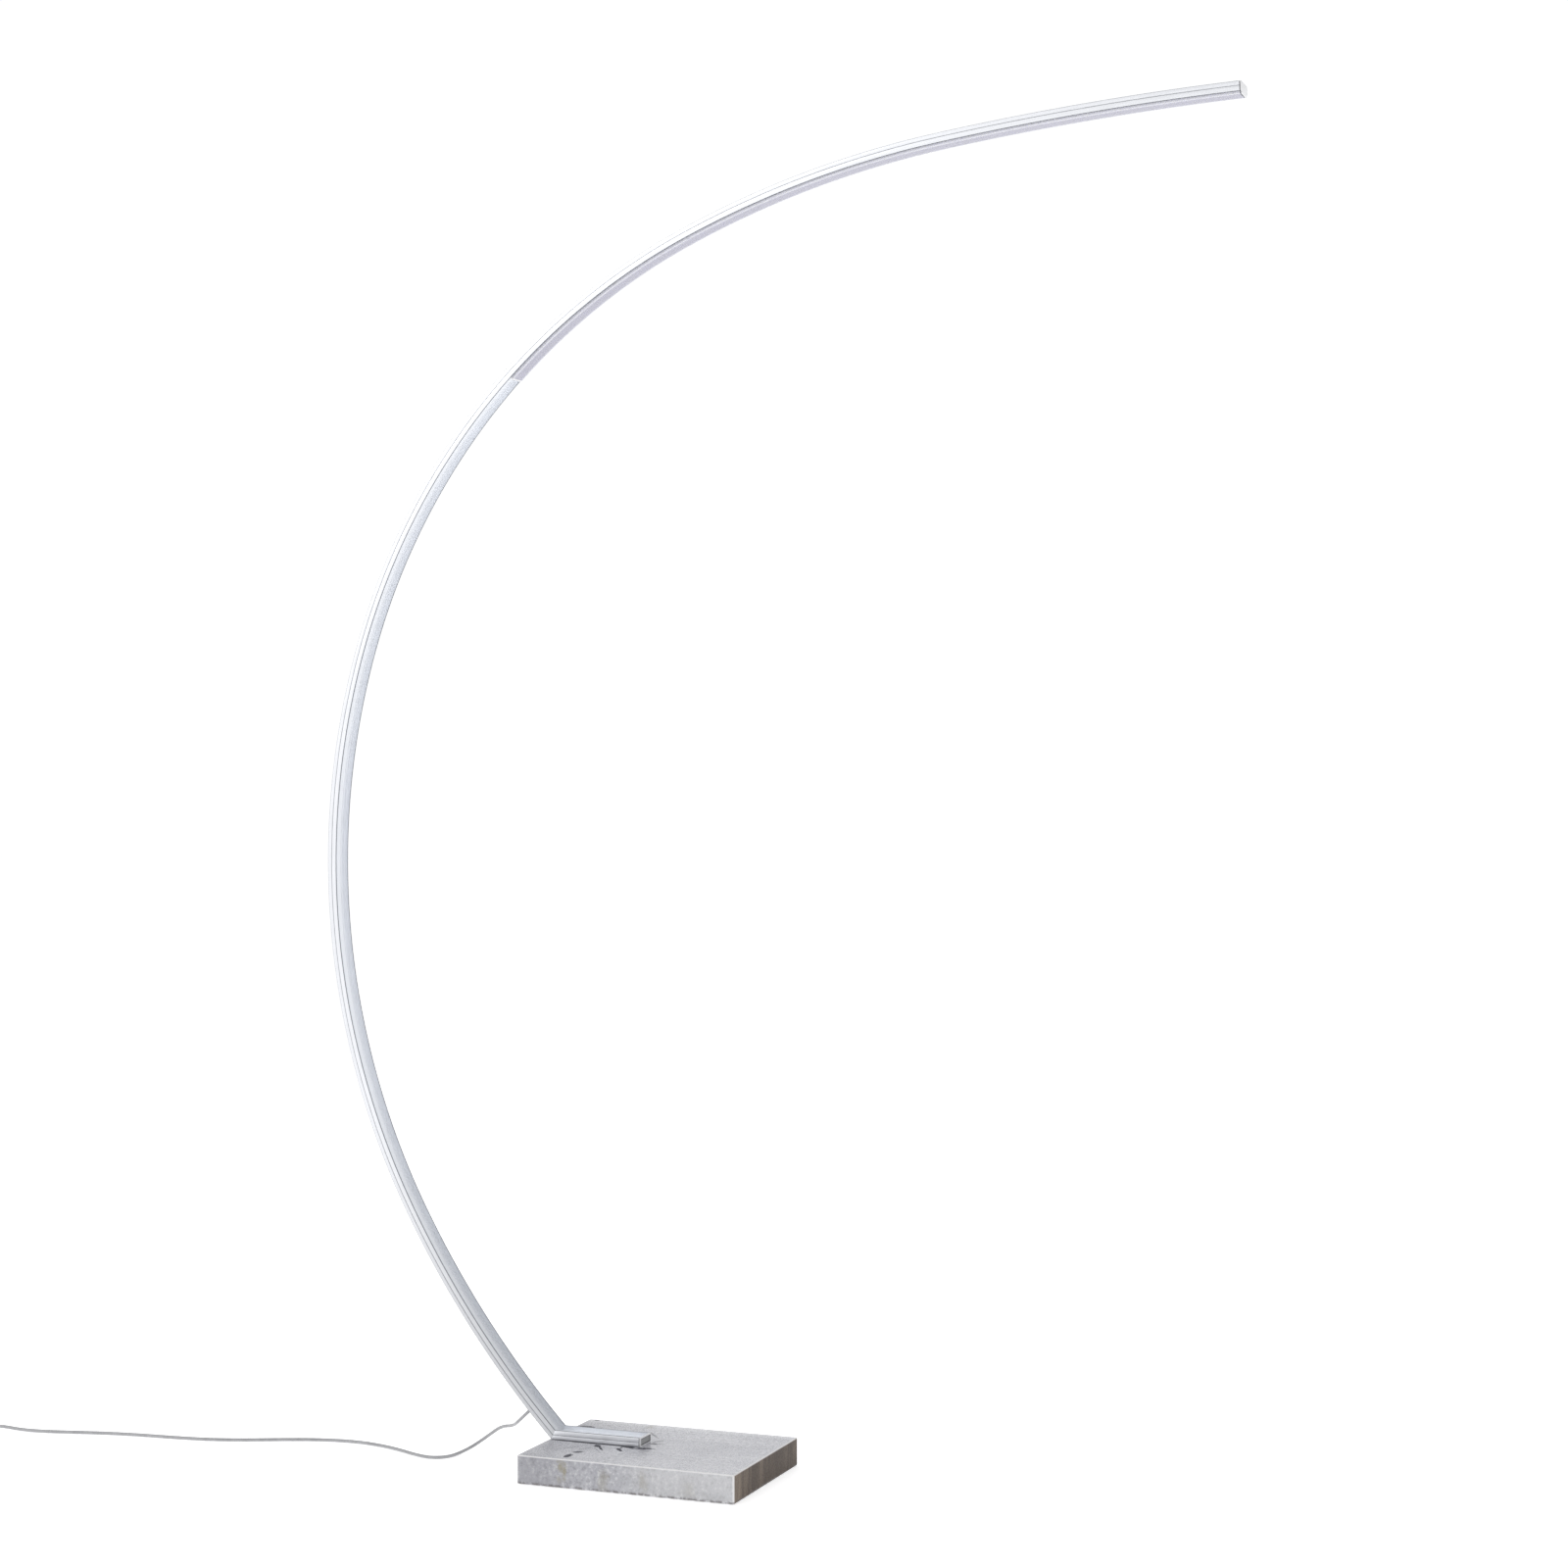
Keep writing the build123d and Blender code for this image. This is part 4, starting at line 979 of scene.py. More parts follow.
@dataclass
class BarSection:
    """The extruded bar's section: an open channel, a closed chamber behind it and a groove along each side."""

    width: float = 0.0380
    thickness: float = 0.0140
    wall: float = 0.0020
    outer_wall: float = 0.0016
    channel: float = 0.0060
    chamber_from: float = 0.0074
    edge: float = 0.0008
    inner_round: float = 0.0003
    groove_round: float = 0.00015
    side_groove: tuple[float, float] = (0.0069, 0.0079)
    groove_depth: float = 0.0005
    snap: tuple[float, float] = (0.0009, 0.0019)
    snap_depth: float = 0.0006
    floor_lines: tuple[float, ...] = (0.0062, 0.0122)
    line_half: float = 0.0004
    line_depth: float = 0.0004

    def half_outline(self) -> Outline:
        """Corners of the half with across > 0, from the middle of the channel's floor round to the outer face.

        Returns:
            Across, depth and corner radius of each corner.
        """
        half, inner = self.width / 2, self.width / 2 - self.wall
        level, bottom = self.channel, self.channel + self.line_depth
        floor = []
        for line in self.floor_lines:
            near, far = line - self.line_half, line + self.line_half
            floor += [(near, level, 0.0), (near, bottom, 0.0), (far, bottom, 0.0), (far, level, 0.0)]
        return [
            *floor,
            (inner, level, self.inner_round),
            (inner, self.snap[1], 0.0),
            (inner + self.snap_depth, self.snap[1], 0.0),
            (inner + self.snap_depth, self.snap[0], 0.0),
            (inner, self.snap[0], 0.0),
            (inner, 0.0, self.inner_round),
            (half, 0.0, self.edge),
            (half, self.side_groove[0], self.groove_round),
            (half - self.groove_depth, self.side_groove[0], 0.0),
            (half - self.groove_depth, self.side_groove[1], 0.0),
            (half, self.side_groove[1], self.groove_round),
            (half, self.thickness, self.edge),
        ]

    def outlines(self) -> tuple[Array, tuple[int, ...]]:
        """The outer outline and the chamber's, end to end, and how many points each has.

        Returns:
            The points, and the two counts.
        """
        right = self.half_outline()
        left = [(-across, depth, radius) for across, depth, radius in reversed(right)]
        outer = rounded_outline([*right, *left], 3)
        inner = self.width / 2 - self.wall
        near, far = self.chamber_from, self.thickness - self.outer_wall
        places = ((inner, near), (inner, far), (-inner, far), (-inner, near))
        chamber = rounded_outline([(*place, self.inner_round) for place in places], 2)
        return np.concatenate([outer, chamber]), (len(outer), len(chamber))


@dataclass
class ArcPath:
    """The rim of the arc's channel: bends that run into each other, from the foot's corner to the tip."""

    corner: tuple[float, float] = (-0.1625, 0.0570)
    heading: float = 134.6
    bends: tuple[tuple[float, float], ...] = (
        (1.460, 15.75), (1.104, 45.6), (0.969, 49.8), (1.468, 15.8), (4.350, 5.8),
    )

    def __post_init__(self) -> None:
        """Work out where each bend starts."""
        self.radii = np.array([radius for radius, _ in self.bends])
        self.sweeps = np.radians([sweep for _, sweep in self.bends])
        self.starts = np.concatenate([[0.0], np.cumsum(self.radii * self.sweeps)])
        headings = radians(self.heading) - np.concatenate([[0.0], np.cumsum(self.sweeps)])
        x, z = [self.corner[0]], [self.corner[1]]
        for radius, before, after in zip(self.radii, headings, headings[1:]):
            x.append(x[-1] + radius * (sin(before) - sin(after)))
            z.append(z[-1] - radius * (cos(before) - cos(after)))
        self.headings, self.x, self.z = headings, np.array(x), np.array(z)

    @property
    def length(self) -> float:
        """The rim's length."""
        return float(self.starts[-1])

    def at(self, distance: Array) -> tuple[Array, Array, Array]:
        """Places on the rim.

        On a bend of radius R that starts at (x0, z0) with heading h0, the heading after a distance s is h = h0 - s / R,
        and the place is (x0 + R (sin h0 - sin h), z0 - R (cos h0 - cos h)).

        Args:
            distance: distances along the rim, in metres.

        Returns:
            x, z and heading of each.
        """
        bend = np.clip(np.searchsorted(self.starts, distance, side="right") - 1, 0, len(self.radii) - 1)
        radius, start = self.radii[bend], self.headings[bend]
        heading = start - (distance - self.starts[bend]) / radius
        x = self.x[bend] + radius * (np.sin(start) - np.sin(heading))
        z = self.z[bend] - radius * (np.cos(start) - np.cos(heading))
        return x, z, heading

    def carry(self, section: Array, distance: Array) -> Array:
        """Rings of a section carried along the rim.

        A section point (across, depth) goes to (x - depth sin h, across, z + depth cos h).

        Args:
            section: points as (across, depth).
            distance: where along the rim each ring lies.

        Returns:
            Points as (ring, point, 3).
        """
        x, z, heading = (values[:, None] for values in self.at(distance))
        across, depth = section[None, :, 0], section[None, :, 1]
        flat = np.broadcast_to(across, (len(distance), len(section)))
        return np.stack([x - depth * np.sin(heading), flat, z + depth * np.cos(heading)], -1)

    def seat(self, distance: float, depth: float = 0.0) -> Matrix:
        """A place on the bar: Z points away from the arc's centre, X runs across.

        Args:
            distance: how far along the rim it is.
            depth: how far behind the rim.

        Returns:
            The place.
        """
        x, z, heading = (float(value[0]) for value in self.at(np.array([distance])))
        outward = (-sin(heading), 0.0, cos(heading))
        return seat_at((x + depth * outward[0], 0.0, z + depth * outward[2]), (0.0, 1.0, 0.0), outward)

    def mitre(self, section: Array) -> Array:
        """The ring where foot and arc meet: (corner x - depth / tan(half heading), across, corner z - depth).

        Args:
            section: points as (across, depth).

        Returns:
            The ring, as (1, point, 3).
        """
        half = tan(radians(self.heading / 2))
        x = self.corner[0] - section[:, 1] / half
        return np.stack([x, section[:, 0], self.corner[1] - section[:, 1]], -1)[None]


def length_round(section: Array) -> Array:
    """How far round an outline each of its points is."""
    steps = np.linalg.norm(np.diff(section, axis=0, prepend=section[:1]), axis=1)
    return np.cumsum(steps)


@dataclass
class LightBar:
    """The arc, the straight foot, their end caps, and the light under its opal cover."""

    path: ArcPath
    section: BarSection
    foot_end: float = -0.0247
    light_from: float = 1.7730
    start_cap: float = 0.0030
    cover_half: float = 0.0150
    cover_proud: float = 0.0032
    cover_wall: float = 0.0012
    cover_foot_half: float = 0.01685
    cover_foot: float = 0.0012
    cover_lift: float = 0.0012
    tape_half: float = 0.0050
    tape: float = 0.0004
    tape_setback: float = 0.0060
    ring_every: float = 0.0080
    foot_map: float = 3.0

    def _rings_between(self, start: float, end: float) -> Array:
        """Distances along the rim, about ring_every apart."""
        return np.linspace(start, end, int((end - start) / self.ring_every) + 2)

    def arc(self) -> Piece:
        """The bent bar, cut at the mitre where it meets the foot.

        Returns:
            The piece.
        """
        outline, loops = self.section.outlines()
        distance = self._rings_between(0.0015, self.path.length)
        rings = np.concatenate([self.path.mitre(outline), self.path.carry(outline, distance)])
        along = np.concatenate([[0.0], distance])
        bar = skin("arc_bar", rings, loops, along=along, around=length_round(outline))
        return Piece(bar, Finish.BAR, "bar_aluminium", ("arc_profile",), zones=self._zones(len(rings)))

    def foot(self) -> Piece:
        """The straight bar on the marble, its channel upwards.

        Returns:
            The piece.
        """
        outline, loops = self.section.outlines()
        x = np.linspace(self.foot_end, self.path.corner[0] + 0.0060, 12)
        flat = np.broadcast_to(outline[None, :, 0], (len(x), len(outline)))
        depth = np.broadcast_to(outline[None, :, 1], flat.shape)
        straight = np.stack([np.broadcast_to(x[:, None], flat.shape), flat, self.path.corner[1] - depth], -1)
        rings = np.concatenate([straight, self.path.mitre(outline)])
        along = self.foot_map + np.concatenate([x, [self.path.corner[0]]])
        bar = skin("foot_bar", rings, loops, along=along, around=length_round(outline))
        return Piece(bar, Finish.BAR, "bar_aluminium", ("foot_profile",), zones=self._zones(len(rings)))

    def _zones(self, rings: int) -> tuple[tuple[Finish, ...], Array]:
        """The finish of each strip of faces: 1 is the channel, painted light; 2 its rims, painted shade; 3 the grooves
        and outer edges, painted shade.

        Args:
            rings: how many rings the bar has.

        Returns:
            The finishes of zones 1 to 3, and the zone of each face.
        """
        shape = self.section
        outline, loops = shape.outlines()
        outer = outline[: loops[0]]
        middle = (outer + np.roll(outer, -1, axis=0)) / 2
        across, depth = np.abs(middle[:, 0]), middle[:, 1]
        inner = shape.width / 2 - shape.wall
        channel = (across < inner + shape.snap_depth + 0.00001) & (depth > 0.0003) & (depth < shape.channel + 0.0010)
        rim = (depth < 0.00035) & ~channel
        groove = (across > inner) & (depth > shape.side_groove[0]) & (depth < shape.side_groove[1])
        within = 0.9 * shape.edge
        edge = (depth > shape.thickness - within) & (across > shape.width / 2 - within)
        zone = np.select([channel, rim, groove | edge], [1, 2, 3], 0)
        return (Finish.CHANNEL, Finish.RIM, Finish.EDGE), np.tile(zone, rings - 1)

    def cover(self) -> Piece:
        """The opal cover: a hat section with a faintly crowned face, legs and feet.

        Returns:
            The piece.
        """
        leg_end = self.section.channel - self.cover_lift
        foot_top, foot_half = leg_end - self.cover_foot, self.cover_foot_half
        top, half, wall = -self.cover_proud, self.cover_half, self.cover_wall
        right = [
            (half, top, 0.0009),
            (half, foot_top, 0.0),
            (foot_half, foot_top, 0.0002),
            (foot_half, leg_end, 0.0002),
            (half - wall, leg_end, 0.0),
            (half - wall, top + wall, 0.0004),
        ]
        left = [(-across, depth, radius) for across, depth, radius in reversed(right)]
        corners = [*right, *left]
        outline = rounded_outline([*corners[-2:], *corners[:-2]], 4)
        distance = self._rings_between(self.light_from + self.start_cap, self.path.length - 0.0001)
        made = skin("opal_cover", self.path.carry(outline, distance), along=distance, around=length_round(outline))
        return Piece(made, Finish.OPAL, "opal", ("diffuser",))

    def cover_start(self) -> Piece:
        """The little moulded block that closes the cover's lower end, eased on its visible edges.

        Returns:
            The piece.
        """
        top = -self.cover_proud
        floor = self.section.channel - self.tape
        distance = self.light_from + np.array([0.0, 0.0004, 0.0012, self.start_cap - 0.0001])
        inset = np.array([0.0006, 0.0002, 0.0, 0.0])
        half, eased = self.cover_half, 0.0008
        base = rounded_outline([(-half, floor, 0.0), (-half, top, eased), (half, top, eased), (half, floor, 0.0)], 4)
        middle = np.array([0.0, (top + floor) / 2])
        size = np.array([half, (floor - top) / 2])
        sections = middle + (base - middle)[None] * (1 - inset[:, None, None] / size[None, None])
        rings = np.concatenate([self.path.carry(part, distance[i : i + 1]) for i, part in enumerate(sections)])
        return Piece(skin("cover_start", rings), Finish.CAP, "cap_white", ("diffuser_start_cap",))

    def tape_strip(self) -> Piece:
        """The light strip's tape on the channel's floor.

        Returns:
            The piece.
        """
        low, high = self.section.channel - self.tape, self.section.channel
        half = self.tape_half
        outline = np.array([(-half, low), (half, low), (half, high), (-half, high)])
        distance = self._rings_between(self.light_from + self.tape_setback, self.path.length - self.tape_setback)
        made = skin("light_tape", self.path.carry(outline, distance), along=distance, around=length_round(outline))
        return Piece(made, Finish.STRIP, "strip_white", ("led_strip",))

    def _cap_loops(self, cover: bool, grow: float) -> Array:
        """The outline of an end cap, grown by a little, with the cover's hump for the tip.

        Args:
            cover: whether the outline takes in the opal cover.
            grow: how far it stands outside the bar's own outline; negative shrinks it.

        Returns:
            Points as (across, depth).
        """
        half, edge = self.section.width / 2 + grow, self.section.edge
        far, rim = self.section.thickness + grow, -grow
        corners = [(half, rim, edge), (half, far, edge), (-half, far, edge), (-half, rim, edge)]
        if cover:
            hump, proud = self.cover_half + grow, -self.cover_proud - grow
            corners += [(-hump, rim, 0.0003), (-hump, proud, 0.0009), (hump, proud, 0.0009), (hump, rim, 0.0003)]
        return rounded_outline(corners, 4)

    def _cap_rings(self, cover: bool, shape: Steps, seat: tuple[Point, Point, Point]) -> Array:
        """Rings of an end cap.

        An outline point (across, depth) of the ring a step out goes to origin + step out + across Y + depth back.

        Args:
            cover: whether the outline takes in the opal cover.
            shape: how far out each ring lies and how much its outline is grown.
            seat: the origin on the bar's end, the way out of it and the way back from the channel.

        Returns:
            Points as (ring, point, 3).
        """
        origin, out, back = np.array(seat)
        rings = []
        for step, grow in shape:
            outline = self._cap_loops(cover, grow)
            across = outline[:, :1] * np.array([0.0, 1.0, 0.0])
            rings.append(origin + step * out + across + outline[:, 1:] * back)
        return np.array(rings)

    def tip_cap(self) -> Piece:
        """The moulded cap at the tip: a plate with a rounded rim, behind an inset seat ring painted dark as the shade
        in its gap.

        Returns:
            The piece.
        """
        shape = (
            (0.0001, -0.0006), (0.0013, -0.0006), (0.0014, 0.0), (0.0022, 0.0), (0.0028, -0.0003), (0.0032, -0.0010),
        )
        x, z, heading = (float(value[0]) for value in self.path.at(np.array([self.path.length])))
        seat = (x, 0.0, z), (cos(heading), 0.0, sin(heading)), (-sin(heading), 0.0, cos(heading))
        rings = self._cap_rings(True, shape, seat)
        # the inset seat ring's strip of faces takes the painted gap shade
        zones = (Finish.JOINT,), np.ones(rings.shape[1], np.int32)
        return Piece(skin("tip_cap", rings, sharp=50.0), Finish.CAP, "cap_white", ("tip_end_cap",), zones=zones)

    def foot_cap(self) -> Piece:
        """The moulded cap on the foot's end, with a rounded rim round a recessed panel; its inset seat ring and the
        recess's inner wall are painted dark as shade.

        Returns:
            The piece.
        """
        shape = (
            (0.0001, -0.0005), (0.0010, -0.0005), (0.0011, 0.0), (0.0024, 0.0), (0.0029, -0.0002), (0.0032, -0.0006),
            (0.0032, -0.0017), (0.0031, -0.0021), (0.0021, -0.0022),
        )
        seat = (self.foot_end, 0.0, self.path.corner[1]), (1.0, 0.0, 0.0), (0.0, 0.0, -1.0)
        rings = self._cap_rings(False, shape, seat)
        # the first strip, the inset seat ring, and the last, the recess's inner wall, take the painted shade
        shade_strips = np.zeros((len(shape) - 1, rings.shape[1]), np.int32)
        shade_strips[[0, -1]] = 1
        cap = skin("foot_cap", rings, sharp=40.0)
        zone = np.ones(len(cap.data.polygons), np.int32)
        zone[: shade_strips.size] = shade_strips.ravel()
        return Piece(cap, Finish.CAP, "cap_white", ("foot_end_cap",), zones=((Finish.JOINT,), zone))

    def cap_panel(self) -> Piece:
        """The grey infill at the bottom of the foot cap's recess.

        Returns:
            The piece.
        """
        half_across, half_up, recess = 0.0159, 0.0039, 0.0021
        origin = (self.foot_end + recess, 0.0, self.path.corner[1] - self.section.thickness / 2)
        seat = seat_at(origin, (0.0, 1.0, 0.0), (1.0, 0.0, 0.0))
        loops = [round_box_loop(half_across - inset, half_up - inset, 0.0006) for inset in (0.0, 0.0, 0.0002, 0.0010)]
        panel = skin("foot_cap_panel", stacked(loops, [0.0, 0.0002, 0.0004, 0.00045], seat))
        return Piece(panel, Finish.CAP_PANEL, "cap_white")

    def build(self) -> list[Piece]:
        """Every piece of the light bar.

        Returns:
            The pieces.
        """
        return [
            self.arc(),
            self.foot(),
            self.cover(),
            self.cover_start(),
            self.tape_strip(),
            self.tip_cap(),
            self.foot_cap(),
            self.cap_panel(),
        ]


# ------------------------------------------------------------------ leads


@dataclass
class Lead:
    """One length of lead: its route's points, its thickness and what lies on it."""

    name: str
    route: list[Point]
    stands_for: tuple[str, ...]
    diameter: float = 0.0050

    def build(self) -> Piece:
        """The lead as one smooth open spline with a round section.

        Returns:
            The piece.
        """
        curve = bpy.data.curves.new(self.name, "CURVE")
        curve.dimensions = "3D"
        spline = curve.splines.new("NURBS")
        spline.points.add(len(self.route) - 1)
        for point, place in zip(spline.points, self.route):
            point.co = (*place, 1.0)
        spline.order_u = 3
        spline.use_endpoint_u = True
        spline.resolution_u = 10
        curve.bevel_depth = self.diameter / 2
        curve.bevel_resolution = 5
        curve.use_fill_caps = True
        return Piece(linked(self.name, curve), Finish.SHEATH, "cord_clear_white", self.stands_for)


@dataclass
class Leads:
    """The lead from the arc to the foot switch, and on through its put-away coil to the supply."""

    gland_mouth: Point = (-0.21386, 0.0, 0.07904)
    gland_straight: Point = (-0.23079, 0.0, 0.06347)
    switch_in: tuple[Point, Point] = ((-1.08717, -0.11026, 0.0070), (-1.11011, -0.11186, 0.0070))
    switch_out: tuple[Point, Point] = ((-1.19989, -0.11814, 0.0070), (-1.22283, -0.11974, 0.0070))
    coil_centre: tuple[float, float] = (-1.1880, -0.0480)
    coil_radii: tuple[float, ...] = (0.03165, 0.02635, 0.02635, 0.03165)
    coil_levels: tuple[float, ...] = (0.0025, 0.0025, 0.0077, 0.0077)
    turn_points: int = 14
    supply_mouth: Point = (-1.2730, 0.0070, 0.0140)
    lying: float = 0.0025
    eases_from: float = 0.70
    stands_out: float = 1.020
    first_angle: float = 166.0

    def _on_floor(self, *places: tuple[float, float]) -> list[Point]:
        """Points where the lead lies on the floor."""
        return [(*place, self.lying) for place in places]

    def to_switch(self) -> Lead:
        """From the gland down to the floor, round a bend and away in easy curves to the foot switch.

        Returns:
            The lead.
        """
        route = [
            self.gland_mouth,
            self.gland_straight,
            (-0.2500, 0.0180, 0.0490),
            (-0.2800, 0.0360, 0.0425),
            (-0.3060, 0.0420, 0.0240),
            (-0.3250, 0.0270, 0.0090),
            (-0.3370, 0.0030, 0.0026),
            *self._on_floor(
                (-0.3410, -0.0185), (-0.3540, -0.0315), (-0.3715, -0.0345), (-0.3980, -0.0255), (-0.4300, -0.0090),
                (-0.4730, 0.0080), (-0.5250, 0.0170), (-0.5850, 0.0080), (-0.6400, -0.0130), (-0.6940, -0.0380),
                (-0.7500, -0.0550), (-0.8080, -0.0620), (-0.8660, -0.0660), (-0.9240, -0.0750), (-0.9800, -0.0900),
            ),
            (-1.0280, -0.1015, 0.0026),
            (-1.0620, -0.1075, 0.0040),
            *self.switch_in,
        ]
        return Lead("lead_to_switch", route, ("lamp_cord",))

    def coil_points(self) -> list[Point]:
        """The coil's turns, clockwise from the side nearest the supply.

        Turn k at an angle a lies at centre + r (cos a, sin a) at height z, where r and z go from turn k's values
        to the next turn's over the turn's last part, from eases_from on, as a smooth step. Points stand a little
        outside, because the spline cuts inside them.

        Returns:
            The points.
        """
        count = len(self.coil_radii) * self.turn_points
        turn = np.arange(count + 1) / self.turn_points
        whole = np.minimum(turn.astype(int), len(self.coil_radii) - 1)
        after = np.minimum(whole + 1, len(self.coil_radii) - 1)
        share = np.clip((turn - whole - self.eases_from) / (1.0 - self.eases_from), 0.0, 1.0)
        share = share * share * (3 - 2 * share)
        radii, levels = np.array(self.coil_radii), np.array(self.coil_levels)
        radius = (radii[whole] * (1 - share) + radii[after] * share) * self.stands_out
        level = levels[whole] * (1 - share) + levels[after] * share
        angle = radians(self.first_angle) - 2 * pi * turn
        x = self.coil_centre[0] + radius * np.cos(angle)
        y = self.coil_centre[1] + radius * np.sin(angle)
        return list(zip(x.tolist(), y.tolist(), level.tolist()))

    def to_supply(self) -> Lead:
        """From the foot switch into the put-away coil, out of it and round into the supply.

        Returns:
            The lead.
        """
        route = [
            *self.switch_out,
            (-1.2413, -0.1044, 0.0045),
            (-1.2444, -0.0808, 0.0026),
            (-1.2304, -0.0615, 0.0025),
            *self.coil_points(),
            (-1.2165, -0.0220, 0.0072),
            (-1.2165, 0.0040, 0.0050),
            (-1.2172, 0.0304, 0.0034),
            (-1.2334, 0.0470, 0.0060),
            (-1.2566, 0.0470, 0.0110),
            (-1.2730, 0.0304, 0.0140),
            self.supply_mouth,
        ]
        return Lead("lead_to_supply", route, ("switch_cord", "cord_coil", "adapter_cord"))


# ------------------------------------------------------------------ small housings

# Radii of every strain relief, at its housing and at its tip
RELIEF_ROOT, RELIEF_TIP = 0.0042, 0.0031


def relief(name: str, seat: Matrix, length: float, root: float, tip: float, ribs: int) -> bpy.types.Object:
    """A ribbed strain relief: a cone whose radius steps in and out.

    The radius at a height h is root + (tip - root) h / length, less the groove's depth inside each groove, the
    grooves being evenly spaced and as wide as a third of their pitch, with eased shoulders.

    Args:
        name: the object's name.
        seat: the housing's face; Z points out of it.
        length: from the face to the tip.
        root: radius at the face.
        tip: radius at the tip.
        ribs: how many grooves there are.

    Returns:
        The object.
    """
    plain, shoulder, groove = 0.0015, 0.0002, 0.00045
    pitch = (length - 2 * plain) / ribs
    height, cut = [0.0001], [0.0]
    for rib in range(ribs):
        start = plain + rib * pitch + pitch / 3
        height += [start, start + shoulder, start + pitch / 3 - shoulder, start + pitch / 3]
        cut += [0.0, groove, groove, 0.0]
    height += [length - 0.0005, length - 0.0001]
    cut += [0.0, 0.0003]
    heights = np.array(height)
    radii = root + (tip - root) * heights / length - np.array(cut)
    return turned(name, list(zip(radii.tolist(), heights.tolist())), seat, 7)


# How far up the arc the lead leaves it
GLAND_ALONG = 0.0510


@dataclass
class Gland:
    """The grommet where the lead leaves the arc's back."""

    seat: Matrix

    def build(self) -> list[Piece]:
        """A collar with an eased rim, and a tapering nose with two grooves round the lead.

        Returns:
            The pieces.
        """
        profile = [
            (0.0044, -0.0026), (0.0044, 0.0001), (0.0063, 0.0001), (0.0065, 0.0005), (0.0063, 0.0012),
            (0.0056, 0.0015), (0.0043, 0.0016), (0.0040, 0.0030), (0.0035, 0.0032), (0.0034, 0.0040),
            (0.0037, 0.0042), (0.0036, 0.0056), (0.0032, 0.0058), (0.0031, 0.0066), (0.0034, 0.0068),
            (0.0032, 0.0077), (0.0028, 0.0080),
        ]
        return [Piece(turned("lead_grommet", profile, self.seat, 8), Finish.GROMMET, "grommet_black", ("cord_gland",))]


